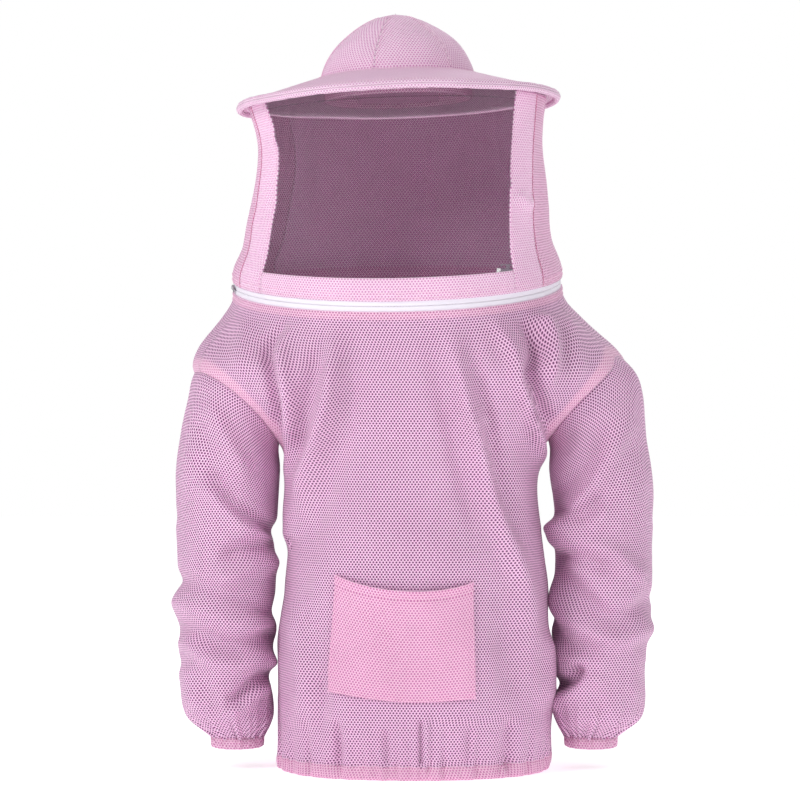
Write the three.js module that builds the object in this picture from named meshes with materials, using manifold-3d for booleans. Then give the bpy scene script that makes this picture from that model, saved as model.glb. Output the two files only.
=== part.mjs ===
// A ventilated beekeeping jacket with a zipped-on hood, in millimetres, +Z up.
// It stands on its hem, faces -Y, and hangs as it does on a wearer with lowered arms.
// Left and right are the wearer's: +X is the left side.
import * as THREE from "three";
import { mergeVertices } from "three/addons/utils/BufferGeometryUtils.js";
import Module from "manifold-3d";

const wasm = await Module();
wasm.setup();

// ---------------------------------------------------------------- driving dimensions

const FABRIC = 3; // spacer mesh: two knitted faces and the pile between them
const GAP = 0.35; // clearance between pieces that are sewn face to face
const LAP = 1; // clearance between layers that lap over each other

// Neck ring, where the hood zips to the jacket: a half circle in front and a shallow ellipse behind.
const NECK_X = -20;
const NECK_Z = 574;
const NECK_RADIUS = 200;
const NECK_BACK_DEPTH = 86;
const NECK_CENTRE_Y = 44;
const NECK_RISE = 0.185; // mm up for each mm towards the back
const NECK_LEAN = 0.016; // mm up for each mm towards the left
const NECK_BAND = 12; // height of the upright band on each side of the zip

// Jacket body.
const HEM_HEIGHT = 17;
const BODY_HALF_WIDTH = 156;
const BODY_FRONT = 141;
const BODY_BACK = 125;
const HEM_FLARE = 6; // how much wider the hem is than the body on each side
const HEM_DRAW = 9; // how far the hem's elastic draws the front in
const UNDERARM_Z = NECK_Z - 194;
const SHOULDER_Z = NECK_Z - 99;
const SHOULDER_REACH = 104; // from the body's side out to the shoulder's end
const HEM_HALF_WIDTH = BODY_HALF_WIDTH + HEM_FLARE;
const SHOULDER_HALF_WIDTH = BODY_HALF_WIDTH + SHOULDER_REACH;

// Sleeves, measured along the sleeve from the wrist up.
const SLEEVE_X = BODY_HALF_WIDTH + 70;
const SLEEVE_HALF_WIDTH = 59;
const SLEEVE_HALF_DEPTH = 66;
const WRIST_Z = 38;
const WRIST_HALF_WIDTH = 31;
const WRIST_HALF_DEPTH = 36;
const CUFF_HEIGHT = 14;
const ARMHOLE_HALF_LENGTH = 66;
const ARMHOLE_HALF_DEPTH = 72;
const ARMHOLE_TILT = 41; // degrees from level
const RAISE_LIMIT = 41; // degrees: the sleeve is square to its armhole there

// Hood.
const HOOD_TURN = -5; // degrees: the window faces a little to the wearer's right
const WINDOW_HALF_ANGLE_TOP = 56;
const WINDOW_HALF_ANGLE_FOOT = 48;
const WINDOW_STRIP_WIDTH = 50;
const WINDOW_BAND_HEIGHT = 24;
const NET = 1;
const BACK_SEAM_ANGLE = 125;
const HEADER_HEIGHT = 6;

// Hat.
const HAT_ROLL = 2; // degrees
const CROWN_RADIUS = 92;
const CROWN_HEIGHT = 76;
const CROWN_POWER = 1.55;
const CROWN_BASE_Z = NECK_Z + 252;
const GORES = 6;
const GORE_SEAM_ANGLE = -17; // degrees, first seam from the front centre
const BRIM_RADIUS = 194;
const BRIM_SLOPE = 0.295;
const BRIM_LAYER = 2.4;
const VEIL_RADIUS = 178;
const VEIL_CLEARANCE = 2;
const HOOP_RADIUS = 1.4;
const BINDING_WALL = 1.1;
const SWEATBAND_HEIGHT = 28;
const SWEATBAND_WALL = 1.6;

// Zip.
const ZIP_OPENING = 6.2; // half of the white band that shows between the two fabric edges
const TAPE_WALL = 1;
const CHAIN_GAP = 0.9; // half the gap between the two rows of teeth
const CHAIN_WIDTH = 2.3;
const CHAIN_WALL = 2;
const ZIP_START = -90; // degrees round the neck ring from the front centre
const ZIP_END = 140;
const SLIDER_REST = -84;
const SLIDER_LENGTH = 14;
const SLIDER_WIDTH = 9;
const SLIDER_WALL = 1.5;
const PULL_LENGTH = 26;
const PULL_WIDTH = 6;

// Pocket.
const POCKET_X = -11;
const POCKET_Z = 155;
const POCKET_HALF_WIDTH = 81;
const POCKET_HALF_HEIGHT = 70;
const POCKET_BULGE = 9;
const POCKET_HEM = 10;
const POCKET_TURN = 3; // degrees of slope from its right corner down to its left one

// Elastic.
const ELASTIC_WALL = 1.2;

// ---------------------------------------------------------------- colours and materials

const fabricPink = () => material(0xdcaed0, 0.86);
const doublePink = () => material(0xe6b7d6, 0.84);
const blackNet = () => material(0x17141a, 0.7);
const whiteTape = () => material(0xeeeaf4, 0.75);
const elasticWhite = () => material(0xe9e4ea, 0.8);
const nylonWhite = () => material(0xf2eff6, 0.45);
const zincMetal = () => material(0xb9b7bb, 0.35, 0.9);
const springSteel = () => material(0x8f9296, 0.3, 0.9);

function material(color, roughness, metalness = 0) {
  return new THREE.MeshStandardMaterial({ color, roughness, metalness });
}

// ---------------------------------------------------------------- shared helpers

const radians = THREE.MathUtils.degToRad;
const lerp = THREE.MathUtils.lerp;

// A smooth value at t from a list of keyed values: a cubic through each neighbouring pair.
// At a level key the value neither rises nor falls, unless the key gives its slope.
function smoothAt(keys, field, t) {
  const value = (i) => keys[i][field] ?? 0;
  let i = 0;
  while (i < keys.length - 2 && t > keys[i + 1].at) i += 1;
  const slope = (k) => {
    if (keys[k].level) return keys[k].slopes?.[field] ?? 0;
    const before = Math.max(k - 1, 0);
    const after = Math.min(k + 1, keys.length - 1);
    return (value(after) - value(before)) / (keys[after].at - keys[before].at);
  };
  const span = keys[i + 1].at - keys[i].at;
  const s = (t - keys[i].at) / span;
  const s2 = s * s;
  const s3 = s2 * s;
  const start = (2 * s3 - 3 * s2 + 1) * value(i) + (s3 - 2 * s2 + s) * span * slope(i);
  return start + (3 * s2 - 2 * s3) * value(i + 1) + (s3 - s2) * span * slope(i + 1);
}

// A surface from level sections stacked by height. An angle runs from the front centre towards +X.
function stackedSurface(keys) {
  return (angle, height) => {
    const at = (field) => smoothAt(keys, field, height);
    const sine = Math.sin(angle);
    const cosine = Math.cos(angle);
    const depth = cosine > 0 ? at("front") : at("back");
    const power = at("power");
    const reach = (Math.abs(sine) ** power + Math.abs(cosine) ** power) ** (-1 / power);
    const x = at("halfWidth") * reach * sine;
    const y = at("y") - depth * reach * cosine;
    const z = height + at("rise") * y + at("lean") * x;
    return new THREE.Vector3(at("x") + x, y, z);
  };
}

// The point at (angle, height) moved out of the surface by an offset.
function placeOn(surface, angle, height, offset) {
  const step = 1e-3;
  const point = surface(angle, height);
  const along = surface(angle + step, height).sub(surface(angle - step, height));
  const up = surface(angle, height + step).sub(surface(angle, height - step));
  return point.addScaledVector(along.cross(up).normalize(), offset);
}

// A closed profile of (offset, height) points carried round a surface between two angles.
// Without angles it goes all the way round. An angle may be a function of height.
function shell(surface, profile, steps, from, to) {
  const closed = from === undefined;
  const angleAt = (end, height) => (typeof end === "function" ? end(height) : end);
  const columns = closed ? steps : steps + 1;
  const rows = profile.length;
  const positions = [];
  for (let i = 0; i < columns; i += 1) {
    for (const [offset, height] of profile) {
      const start = closed ? -Math.PI : angleAt(from, height);
      const end = closed ? Math.PI : angleAt(to, height);
      const point = placeOn(surface, lerp(start, end, i / steps), height, offset);
      positions.push(point.x, point.y, point.z);
    }
  }
  const indices = [];
  for (let i = 0; i < steps; i += 1) {
    for (let j = 0; j < rows; j += 1) {
      const a = i * rows + j;
      const b = ((i + 1) % columns) * rows + j;
      const c = ((i + 1) % columns) * rows + ((j + 1) % rows);
      const d = i * rows + ((j + 1) % rows);
      indices.push(a, b, c, a, c, d);
    }
  }
  if (!closed) {
    // An open end is a wall's edge: its outer and inner points pair up by height.
    const last = steps * rows;
    for (let j = 0; j < rows / 2 - 1; j += 1) {
      const a = j;
      const b = j + 1;
      const c = rows - 2 - j;
      const d = rows - 1 - j;
      indices.push(a, b, c, a, c, d);
      indices.push(last + c, last + b, last + a, last + d, last + c, last + a);
    }
  }
  return facingOut(fromArrays(positions, indices));
}

function fromArrays(positions, indices) {
  const geometry = new THREE.BufferGeometry();
  geometry.setAttribute("position", new THREE.Float32BufferAttribute(positions, 3));
  geometry.setIndex(indices);
  return geometry;
}

// Turns a closed geometry's faces to point out of it.
function facingOut(geometry) {
  const place = geometry.getAttribute("position");
  const index = geometry.getIndex().array;
  const corner = (k) => new THREE.Vector3().fromBufferAttribute(place, index[k]);
  let volume = 0;
  for (let k = 0; k < index.length; k += 3) {
    volume += corner(k).dot(corner(k + 1).cross(corner(k + 2)));
  }
  if (volume < 0) {
    for (let k = 0; k < index.length; k += 3) {
      [index[k + 1], index[k + 2]] = [index[k + 2], index[k + 1]];
    }
  }
  return geometry;
}

// Evenly spaced heights from one to another.
function evenly(low, high, rows) {
  return Array.from({ length: rows + 1 }, (_, j) => lerp(low, high, j / rows));
}

// A fabric wall's profile between two offsets, with a row at each height.
function wallAt(outer, inner, heights) {
  const up = heights.map((height) => [outer, height]);
  const down = heights.map((height) => [inner, height]).reverse();
  return [...up, ...down];
}

function wall(outer, inner, low, high, rows) {
  return wallAt(outer, inner, evenly(low, high, rows));
}

// A channel's profile, open at the top, round an elastic band.
function channel(outer, inner, sheet, low, high) {
  return [
    [outer, low],
    [outer, high],
    [outer - sheet, high],
    [outer - sheet, low + sheet],
    [inner + sheet, low + sheet],
    [inner + sheet, high],
    [inner, high],
    [inner, low],
  ];
}

function toSolid(geometry, matrix) {
  const bare = new THREE.BufferGeometry();
  bare.setAttribute("position", geometry.getAttribute("position").clone());
  if (geometry.getIndex()) bare.setIndex(geometry.getIndex().clone());
  if (matrix) bare.applyMatrix4(matrix);
  const merged = mergeVertices(bare, 1e-4);
  return new wasm.Manifold(
    new wasm.Mesh({
      numProp: 3,
      vertProperties: merged.getAttribute("position").array,
      triVerts: new Uint32Array(merged.getIndex().array),
    }),
  );
}

function fromSolid(solid) {
  const mesh = solid.getMesh();
  return fromArrays(Array.from(mesh.vertProperties), Array.from(mesh.triVerts));
}

// A whole surface filled in as one solid, for cutting, with a ring of points at each height.
function filled(surface, offset, heights, steps, angleAt) {
  const rows = heights.length - 1;
  const positions = [];
  for (const height of heights) {
    for (let i = 0; i < steps; i += 1) {
      const point = placeOn(surface, angleAt(i, height), height, offset);
      positions.push(point.x, point.y, point.z);
    }
  }
  const indices = [];
  for (let j = 0; j < rows; j += 1) {
    for (let i = 0; i < steps; i += 1) {
      const next = (i + 1) % steps;
      const a = j * steps + i;
      const b = j * steps + next;
      indices.push(a, b, b + steps, a, b + steps, a + steps);
    }
  }
  for (const row of [0, rows]) {
    const centre = new THREE.Vector3();
    for (let i = 0; i < steps; i += 1) {
      const k = 3 * (row * steps + i);
      centre.add(new THREE.Vector3(positions[k], positions[k + 1], positions[k + 2]));
    }
    centre.divideScalar(steps);
    const hub = positions.length / 3;
    positions.push(centre.x, centre.y, centre.z);
    for (let i = 0; i < steps; i += 1) {
      const a = row * steps + i;
      const b = row * steps + ((i + 1) % steps);
      if (row === 0) indices.push(hub, b, a);
      else indices.push(hub, a, b);
    }
  }
  return facingOut(fromArrays(positions, indices));
}

const jacket = new THREE.Group();

function add(parent, name, geometry, finish) {
  const mesh = new THREE.Mesh(geometry, finish);
  mesh.name = name;
  parent.add(mesh);
  return mesh;
}

// ---------------------------------------------------------------- surfaces

// The ring is a true half circle in its own tilted plane, so the slider can turn about its centre.
const RISE_SHARE = Math.hypot(1, NECK_RISE);
const AXIS_SHARE = 1 + NECK_RISE ** 2 + NECK_LEAN ** 2;
const NECK_SLOPES = { x: -NECK_LEAN / AXIS_SHARE, y: -NECK_RISE / AXIS_SHARE };
const neckSection = {
  at: NECK_Z,
  level: true,
  x: NECK_X,
  y: NECK_CENTRE_Y,
  halfWidth: NECK_RADIUS,
  front: NECK_RADIUS / RISE_SHARE,
  back: NECK_BACK_DEPTH,
  power: 2,
  rise: NECK_RISE,
  lean: NECK_LEAN,
  slopes: NECK_SLOPES,
};

// The ring moved up or down its own axis, so that the zip's two tapes stay in line with it.
function neckAt(distance) {
  return {
    ...neckSection,
    at: NECK_Z + distance,
    x: NECK_X + NECK_SLOPES.x * distance,
    y: NECK_CENTRE_Y + NECK_SLOPES.y * distance,
  };
}

// A section's power is 2 for an ellipse, and more for a squarer one.
const HIP_Z = UNDERARM_Z - 310;
const WAIST_Z = UNDERARM_Z - 160;
const bodySurface = stackedSurface([
  {
    at: 0,
    halfWidth: HEM_HALF_WIDTH,
    front: BODY_FRONT - HEM_DRAW,
    back: BODY_BACK - HEM_DRAW / 3,
    power: 2.2,
  },
  { at: HIP_Z, halfWidth: HEM_HALF_WIDTH + 2, front: BODY_FRONT, back: BODY_BACK, power: 2.3 },
  { at: WAIST_Z, halfWidth: BODY_HALF_WIDTH + 2, front: BODY_FRONT, back: BODY_BACK, power: 2.3 },
  {
    at: UNDERARM_Z,
    x: -2,
    halfWidth: BODY_HALF_WIDTH,
    front: BODY_FRONT,
    back: BODY_BACK - 4,
    power: 2.2,
  },
  {
    at: SHOULDER_Z,
    x: -5,
    y: 4,
    halfWidth: SHOULDER_HALF_WIDTH,
    front: BODY_FRONT + 10,
    back: BODY_BACK - 10,
    power: 2,
    rise: 0.05,
  },
  neckAt(-NECK_BAND),
  neckSection,
  neckAt(NECK_BAND),
]);

// The hood's sections run from the neck ring to a circle under the brim.
const HOOD_TOP_Z = CROWN_BASE_Z - BRIM_SLOPE * (VEIL_RADIUS - CROWN_RADIUS) - BRIM_LAYER * 2
  - VEIL_CLEARANCE;

// Between the two, at a share of its height, the hood is drawn in by a factor all round.
function hoodAt(share, drawnIn, drawnInBehind, shift) {
  const radius = lerp(NECK_RADIUS, VEIL_RADIUS, share) * drawnIn;
  return {
    at: lerp(NECK_Z, HOOD_TOP_Z, share),
    x: NECK_X + shift,
    y: lerp(NECK_CENTRE_Y, 0, share),
    halfWidth: radius,
    front: radius,
    back: lerp(NECK_BACK_DEPTH, VEIL_RADIUS, share) * drawnInBehind,
    power: 2,
    rise: NECK_RISE * (1 - share) ** 1.4,
    lean: lerp(NECK_LEAN, Math.tan(radians(HAT_ROLL)), share),
  };
}

const hoodSurface = stackedSurface([
  neckAt(-NECK_BAND),
  neckSection,
  neckAt(NECK_BAND),
  hoodAt(0.24, 0.96, 0.93, 0),
  hoodAt(0.52, 0.935, 0.955, 3),
  hoodAt(0.78, 0.94, 1, 4),
  hoodAt(1, 1, 1, 0),
]);

// ---------------------------------------------------------------- sleeves

// A sleeve's centre path: x out from the middle, z up, the tilt of its section, and half sizes.
function armKey(share, inward, narrower, shallower) {
  const z = lerp(WRIST_Z, UNDERARM_Z, share);
  return {
    at: z,
    x: SLEEVE_X - inward,
    z,
    across: SLEEVE_HALF_WIDTH - narrower,
    depth: SLEEVE_HALF_DEPTH - shallower,
  };
}

const sleeveKeys = [
  { at: WRIST_Z, x: SLEEVE_X - 14, z: WRIST_Z, across: WRIST_HALF_WIDTH, depth: WRIST_HALF_DEPTH },
  armKey(0.076, 6, 8, 12),
  armKey(0.21, 3, 5, 6),
  armKey(0.475, 0, 0, 0),
  armKey(0.765, 1, 0, -3),
  {
    at: UNDERARM_Z - 10,
    x: SLEEVE_X - 5,
    z: UNDERARM_Z - 12,
    tilt: ARMHOLE_TILT * 0.4,
    across: ARMHOLE_HALF_LENGTH - 4,
    depth: ARMHOLE_HALF_DEPTH,
  },
  {
    at: SHOULDER_Z - 40,
    x: SHOULDER_HALF_WIDTH - 49,
    z: SHOULDER_Z - 43,
    tilt: ARMHOLE_TILT,
    across: ARMHOLE_HALF_LENGTH,
    depth: ARMHOLE_HALF_DEPTH,
  },
  {
    at: SHOULDER_Z + 15,
    x: SHOULDER_HALF_WIDTH - 86,
    z: SHOULDER_Z - 4,
    tilt: ARMHOLE_TILT + 3,
    across: ARMHOLE_HALF_LENGTH - 8,
    depth: ARMHOLE_HALF_DEPTH - 8,
  },
];
const SLEEVE_TOP = SHOULDER_Z + 15;
const SLEEVE_STEPS = 28;
const BORE_FOOT = UNDERARM_Z - 40; // the bore that opens the body into a sleeve starts here
const SLEEVE_FORWARD = 5;

function sleeveSurface(side) {
  return (angle, length) => {
    const at = (field) => smoothAt(sleeveKeys, field, length);
    const tilt = radians(at("tilt"));
    const out = at("across") * Math.sin(side * angle);
    const x = at("x") + out * Math.cos(tilt);
    const z = at("z") + out * Math.sin(tilt);
    return new THREE.Vector3(side * x, -SLEEVE_FORWARD - at("depth") * Math.cos(angle), z);
  };
}

// The sleeve turns about the top of its armhole.
const RAISE_PIVOT_X = SHOULDER_HALF_WIDTH + 5;
const RAISE_PIVOT_Z = SHOULDER_Z + 6;

// The body as the sleeve meets it when the sleeve is raised by an angle.
function bodySeenRaised(side, degrees) {
  const pivot = new THREE.Vector3(side * RAISE_PIVOT_X, 0, RAISE_PIVOT_Z);
  const turn = new THREE.Matrix4().makeTranslation(pivot);
  turn.multiply(new THREE.Matrix4().makeRotationY(side * radians(degrees)));
  turn.multiply(new THREE.Matrix4().makeTranslation(pivot.negate()));
  return turn;
}

const BODY_TOP_Z = NECK_Z - ZIP_OPENING;
const BODY_FOOT_Z = HEM_HEIGHT + GAP;
const BODY_LEVELS = [...evenly(BODY_FOOT_Z, NECK_Z - NECK_BAND, 16), BODY_TOP_Z];
const PANEL_STEPS = 24;

// The side seams are at the sides up to the underarm, and come forward over the shoulders.
const SHOULDER_SEAM_SHIFT = 17;
const SEAM_GAP_ANGLE = 0.0015;

function seamAngle(height) {
  const rise = THREE.MathUtils.smoothstep(height, UNDERARM_Z, SHOULDER_Z);
  return radians(90 - SHOULDER_SEAM_SHIFT * rise);
}

// The body filled in, with the same facets as its front and back panels.
function panelAngle(i, height) {
  const seam = seamAngle(height);
  if (i <= PANEL_STEPS) return lerp(-seam, seam, i / PANEL_STEPS);
  return lerp(seam, 2 * Math.PI - seam, i / PANEL_STEPS - 1);
}

const bodyFilled = filled(bodySurface, GAP, BODY_LEVELS, 2 * PANEL_STEPS, panelAngle);
const RAISE_STEPS = 4;

function sleeveGeometry(side) {
  const surface = sleeveSurface(side);
  const low = WRIST_Z + GAP;
  let solid = toSolid(shell(surface, wall(0, -FABRIC, low, SLEEVE_TOP, 13), SLEEVE_STEPS));
  for (let i = 0; i <= RAISE_STEPS; i += 1) {
    const turned = bodySeenRaised(side, (RAISE_LIMIT * i) / RAISE_STEPS);
    solid = solid.subtract(toSolid(bodyFilled, turned));
  }
  const pieces = solid.decompose();
  pieces.sort((a, b) => b.volume() - a.volume());
  return fromSolid(pieces[0]);
}

// A cuff goes straight down from the sleeve's section at the wrist.
function cuffSurface(side) {
  const surface = sleeveSurface(side);
  return (angle, height) => surface(angle, WRIST_Z).setZ(height);
}

function cuffCasingGeometry(side) {
  const cuff = cuffSurface(side);
  const low = WRIST_Z - CUFF_HEIGHT;
  return shell(cuff, channel(0, -FABRIC * 2.2, FABRIC / 2, low, WRIST_Z), 24);
}

function cuffElasticGeometry(side) {
  const cuff = cuffSurface(side);
  const outer = -FABRIC / 2 - GAP;
  const low = WRIST_Z - CUFF_HEIGHT + FABRIC / 2 + GAP;
  return shell(cuff, wall(outer, outer - ELASTIC_WALL, low, WRIST_Z - 1, 1), 24);
}

for (const [name, side] of [["left", 1], ["right", -1]]) {
  add(jacket, `sleeve_${name}`, sleeveGeometry(side), fabricPink());
  add(jacket, `cuff_casing_${name}`, cuffCasingGeometry(side), doublePink());
  add(jacket, `cuff_elastic_${name}`, cuffElasticGeometry(side), elasticWhite());
}

// ---------------------------------------------------------------- jacket body

function bodyPanel(from, to) {
  const profile = wallAt(0, -FABRIC, BODY_LEVELS);
  let solid = toSolid(shell(bodySurface, profile, PANEL_STEPS, from, to));
  for (const side of [1, -1]) {
    const bore = filled(
      sleeveSurface(side),
      -FABRIC,
      evenly(BORE_FOOT, SLEEVE_TOP - 2, 8),
      SLEEVE_STEPS,
      (i) => lerp(-Math.PI, Math.PI, i / SLEEVE_STEPS),
    );
    solid = solid.subtract(toSolid(bore));
  }
  const pieces = solid.decompose();
  pieces.sort((a, b) => b.volume() - a.volume());
  return fromSolid(pieces[0]);
}

add(
  jacket,
  "front_panel",
  bodyPanel(
    (height) => -seamAngle(height) + SEAM_GAP_ANGLE,
    (height) => seamAngle(height) - SEAM_GAP_ANGLE,
  ),
  fabricPink(),
);
add(
  jacket,
  "back_panel",
  bodyPanel(
    (height) => seamAngle(height) + SEAM_GAP_ANGLE,
    (height) => 2 * Math.PI - seamAngle(height) - SEAM_GAP_ANGLE,
  ),
  fabricPink(),
);

// The hem casing is flat underneath, so the jacket can stand on it.
const hemSurface = (angle, height) => bodySurface(angle, HEM_HEIGHT).setZ(height);
const HEM_SHEET = FABRIC * 0.7; // the casing's cloth is pressed flat by its stitching
const hemChannel = channel(0, -FABRIC * 2.6, HEM_SHEET, 0, HEM_HEIGHT);
add(jacket, "hem_casing", shell(hemSurface, hemChannel, 48), doublePink());
const hemElasticOut = -HEM_SHEET - GAP;
const hemElastic = wall(
  hemElasticOut,
  hemElasticOut - ELASTIC_WALL * 2,
  HEM_SHEET + GAP,
  HEM_HEIGHT - 2,
  1,
);
add(jacket, "hem_elastic", shell(hemSurface, hemElastic, 48), elasticWhite());

// Where the zip ends, a sewn binding joins the hood to the back of the neck.
const JOIN_WALL = 1.6;
const neckJoin = wall(
  -FABRIC - LAP,
  -FABRIC - LAP - JOIN_WALL,
  NECK_Z - NECK_BAND,
  NECK_Z + ZIP_OPENING - GAP,
  2,
);
const JOIN_INSET = 1.6; // degrees past the zip's end stops
add(
  jacket,
  "neck_seam_binding",
  shell(bodySurface, neckJoin, 30, radians(ZIP_END + JOIN_INSET), radians(360 + ZIP_START - JOIN_INSET)),
  doublePink(),
);

// ---------------------------------------------------------------- pocket

function pocketSurface(across, height) {
  // across is the angle round the body; the patch is turned a little and stands off the front.
  const along = (across - POCKET_CENTRE_ANGLE) / POCKET_HALF_ANGLE;
  const up = (height - POCKET_Z) / POCKET_HALF_HEIGHT;
  const slope = Math.tan(radians(POCKET_TURN)) * POCKET_HALF_WIDTH * -along;
  const open = Math.cos((Math.PI / 2) * Math.min(Math.abs(along), 1)) ** 0.6;
  const lift = Math.cos((Math.PI / 4) * THREE.MathUtils.clamp(1 - up, 0, 2)) ** 0.5;
  const bulge = GAP + 0.3 + POCKET_BULGE * open * lift + FABRIC;
  return placeOn(bodySurface, across, height + slope, bulge);
}

// The angle on the front at which a surface is a given distance across.
function angleAcross(surface, x, height) {
  let low = -Math.PI / 2;
  let high = Math.PI / 2;
  for (let i = 0; i < 40; i += 1) {
    const middle = (low + high) / 2;
    if (surface(middle, height).x < x) low = middle;
    else high = middle;
  }
  return (low + high) / 2;
}

const POCKET_SIDES = [-POCKET_HALF_WIDTH, POCKET_HALF_WIDTH].map((reach) =>
  angleAcross(bodySurface, POCKET_X + reach, POCKET_Z),
);
const POCKET_CENTRE_ANGLE = (POCKET_SIDES[0] + POCKET_SIDES[1]) / 2;
const POCKET_HALF_ANGLE = (POCKET_SIDES[1] - POCKET_SIDES[0]) / 2;
const pocketLow = POCKET_Z - POCKET_HALF_HEIGHT;
const pocketTop = POCKET_Z + POCKET_HALF_HEIGHT;
const pocketWall = wall(0, -FABRIC, pocketLow, pocketTop - POCKET_HEM - GAP, 6);
add(
  jacket,
  "pocket_patch",
  shell(pocketSurface, pocketWall, 16, ...POCKET_SIDES),
  doublePink(),
);
const pocketHem = wall(FABRIC * 0.4, -FABRIC, pocketTop - POCKET_HEM, pocketTop, 1);
add(
  jacket,
  "pocket_top_hem",
  shell(pocketSurface, pocketHem, 16, ...POCKET_SIDES),
  doublePink(),
);

// ---------------------------------------------------------------- zip

// Tapes lie inside the fabric edges; the teeth are on the tapes' inner faces.
const tapeOut = -FABRIC - LAP;
const tapeIn = tapeOut - TAPE_WALL;
const chainOut = tapeIn - GAP;
const chainIn = chainOut - CHAIN_WALL;
const ZIP_ANGLES = [radians(ZIP_START), radians(ZIP_END)];
const chainEdge = CHAIN_GAP + CHAIN_WIDTH;
const ZIP_STEPS = 40;

function tape(surface, low, high) {
  return shell(surface, wall(tapeOut, tapeIn, low, high, 2), ZIP_STEPS, ...ZIP_ANGLES);
}

function chain(surface, low, high) {
  return shell(surface, wall(chainOut, chainIn, low, high, 1), ZIP_STEPS, ...ZIP_ANGLES);
}

add(
  jacket,
  "zip_tape_jacket",
  tape(bodySurface, NECK_Z - NECK_BAND, NECK_Z - CHAIN_GAP),
  whiteTape(),
);
add(
  jacket,
  "zip_tape_hood",
  tape(hoodSurface, NECK_Z + CHAIN_GAP, NECK_Z + NECK_BAND),
  whiteTape(),
);
add(
  jacket,
  "zip_coil_jacket",
  chain(bodySurface, NECK_Z - chainEdge, NECK_Z - CHAIN_GAP),
  nylonWhite(),
);
add(
  jacket,
  "zip_coil_hood",
  chain(hoodSurface, NECK_Z + CHAIN_GAP, NECK_Z + chainEdge),
  nylonWhite(),
);

// A small stop sits on the jacket's tape just past each end of the teeth.
const STOP_ANGLE = 0.9;
for (const [name, angle] of [["top_stop", ZIP_START], ["retainer_box", ZIP_END]]) {
  const outward = Math.sign(angle);
  const near = radians(angle + outward * 0.15);
  const far = radians(angle + outward * (0.15 + STOP_ANGLE));
  const profile = wall(chainOut + 1, chainIn, NECK_Z - chainEdge, NECK_Z - CHAIN_GAP, 1);
  const ends = outward > 0 ? [near, far] : [far, near];
  add(jacket, `zip_${name}`, shell(bodySurface, profile, 2, ...ends), zincMetal());
}

// A frame on the neck ring: x along the zip, y out of the ring, z across the zip.
function zipFrame(degrees) {
  const angle = radians(degrees);
  const place = bodySurface(angle, NECK_Z);
  const along = bodySurface(angle + 1e-3, NECK_Z).sub(bodySurface(angle - 1e-3, NECK_Z));
  const across = new THREE.Vector3(-NECK_LEAN, -NECK_RISE, 1).normalize();
  along.normalize();
  const out = new THREE.Vector3().crossVectors(along, across).normalize();
  const group = new THREE.Group();
  group.position.copy(place);
  const turn = new THREE.Matrix4().makeBasis(along, out.clone().negate(), across);
  group.quaternion.setFromRotationMatrix(turn);
  return group;
}

// A flat plate with rounded ends, length along x and width along z, from one y to another.
function plate(length, width, from, to) {
  const r = width / 2;
  const half = length / 2 - r;
  const shape = new THREE.Shape();
  shape.moveTo(-half, -r);
  shape.lineTo(half, -r);
  shape.absarc(half, 0, r, -Math.PI / 2, Math.PI / 2);
  shape.lineTo(-half, r);
  shape.absarc(-half, 0, r, Math.PI / 2, Math.PI * 1.5);
  const geometry = new THREE.ExtrudeGeometry(shape, {
    depth: Math.abs(to - from),
    bevelEnabled: false,
    curveSegments: 8,
  });
  geometry.rotateX(Math.PI / 2);
  geometry.translate(0, Math.max(from, to), 0);
  return geometry;
}

function box(lengthX, lengthY, lengthZ, x, y, z) {
  return new THREE.BoxGeometry(lengthX, lengthY, lengthZ).translate(x, y, z);
}

function joined(geometries) {
  return geometries.map((g) => toSolid(g)).reduce((whole, next) => whole.add(next));
}

// In the zip's frame, y points into the jacket, so an offset o out of the fabric is at y = -o.
const sliderFront = -(tapeOut + GAP);
const sliderBack = -(chainIn - 2 * GAP);
const frontPlateOut = sliderFront - SLIDER_WALL;
const PIN_RADIUS = 0.8;
const KNUCKLE_RADIUS = 1.9;
const PIN_Y = frontPlateOut - KNUCKLE_RADIUS - GAP;
const EAR_HALF_GAP = 2.1;
const EAR = 0.9;
const POST = 2 * (CHAIN_GAP - GAP);
const POST_LENGTH = 3;
const PULL_WALL = 1.2;
const PULL_NECK = 8;
const GRIP_RADIUS = 1.6;

function sliderGeometry() {
  const parts = [
    plate(SLIDER_LENGTH, SLIDER_WIDTH, frontPlateOut, sliderFront),
    plate(SLIDER_LENGTH, SLIDER_WIDTH, sliderBack, sliderBack + SLIDER_WALL),
    box(
      POST_LENGTH,
      sliderBack - sliderFront + 1,
      POST,
      -SLIDER_LENGTH / 4,
      (sliderFront + sliderBack) / 2,
      0,
    ),
    new THREE.CylinderGeometry(PIN_RADIUS, PIN_RADIUS, 2 * EAR_HALF_GAP + 0.4, 16)
      .rotateX(Math.PI / 2)
      .translate(0, PIN_Y, 0),
  ];
  for (const side of [1, -1]) {
    const z = side * (EAR_HALF_GAP + EAR / 2);
    parts.push(box(POST_LENGTH, frontPlateOut - PIN_Y + 2, EAR, 0, (frontPlateOut + PIN_Y) / 2, z));
  }
  return fromSolid(joined(parts));
}

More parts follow.
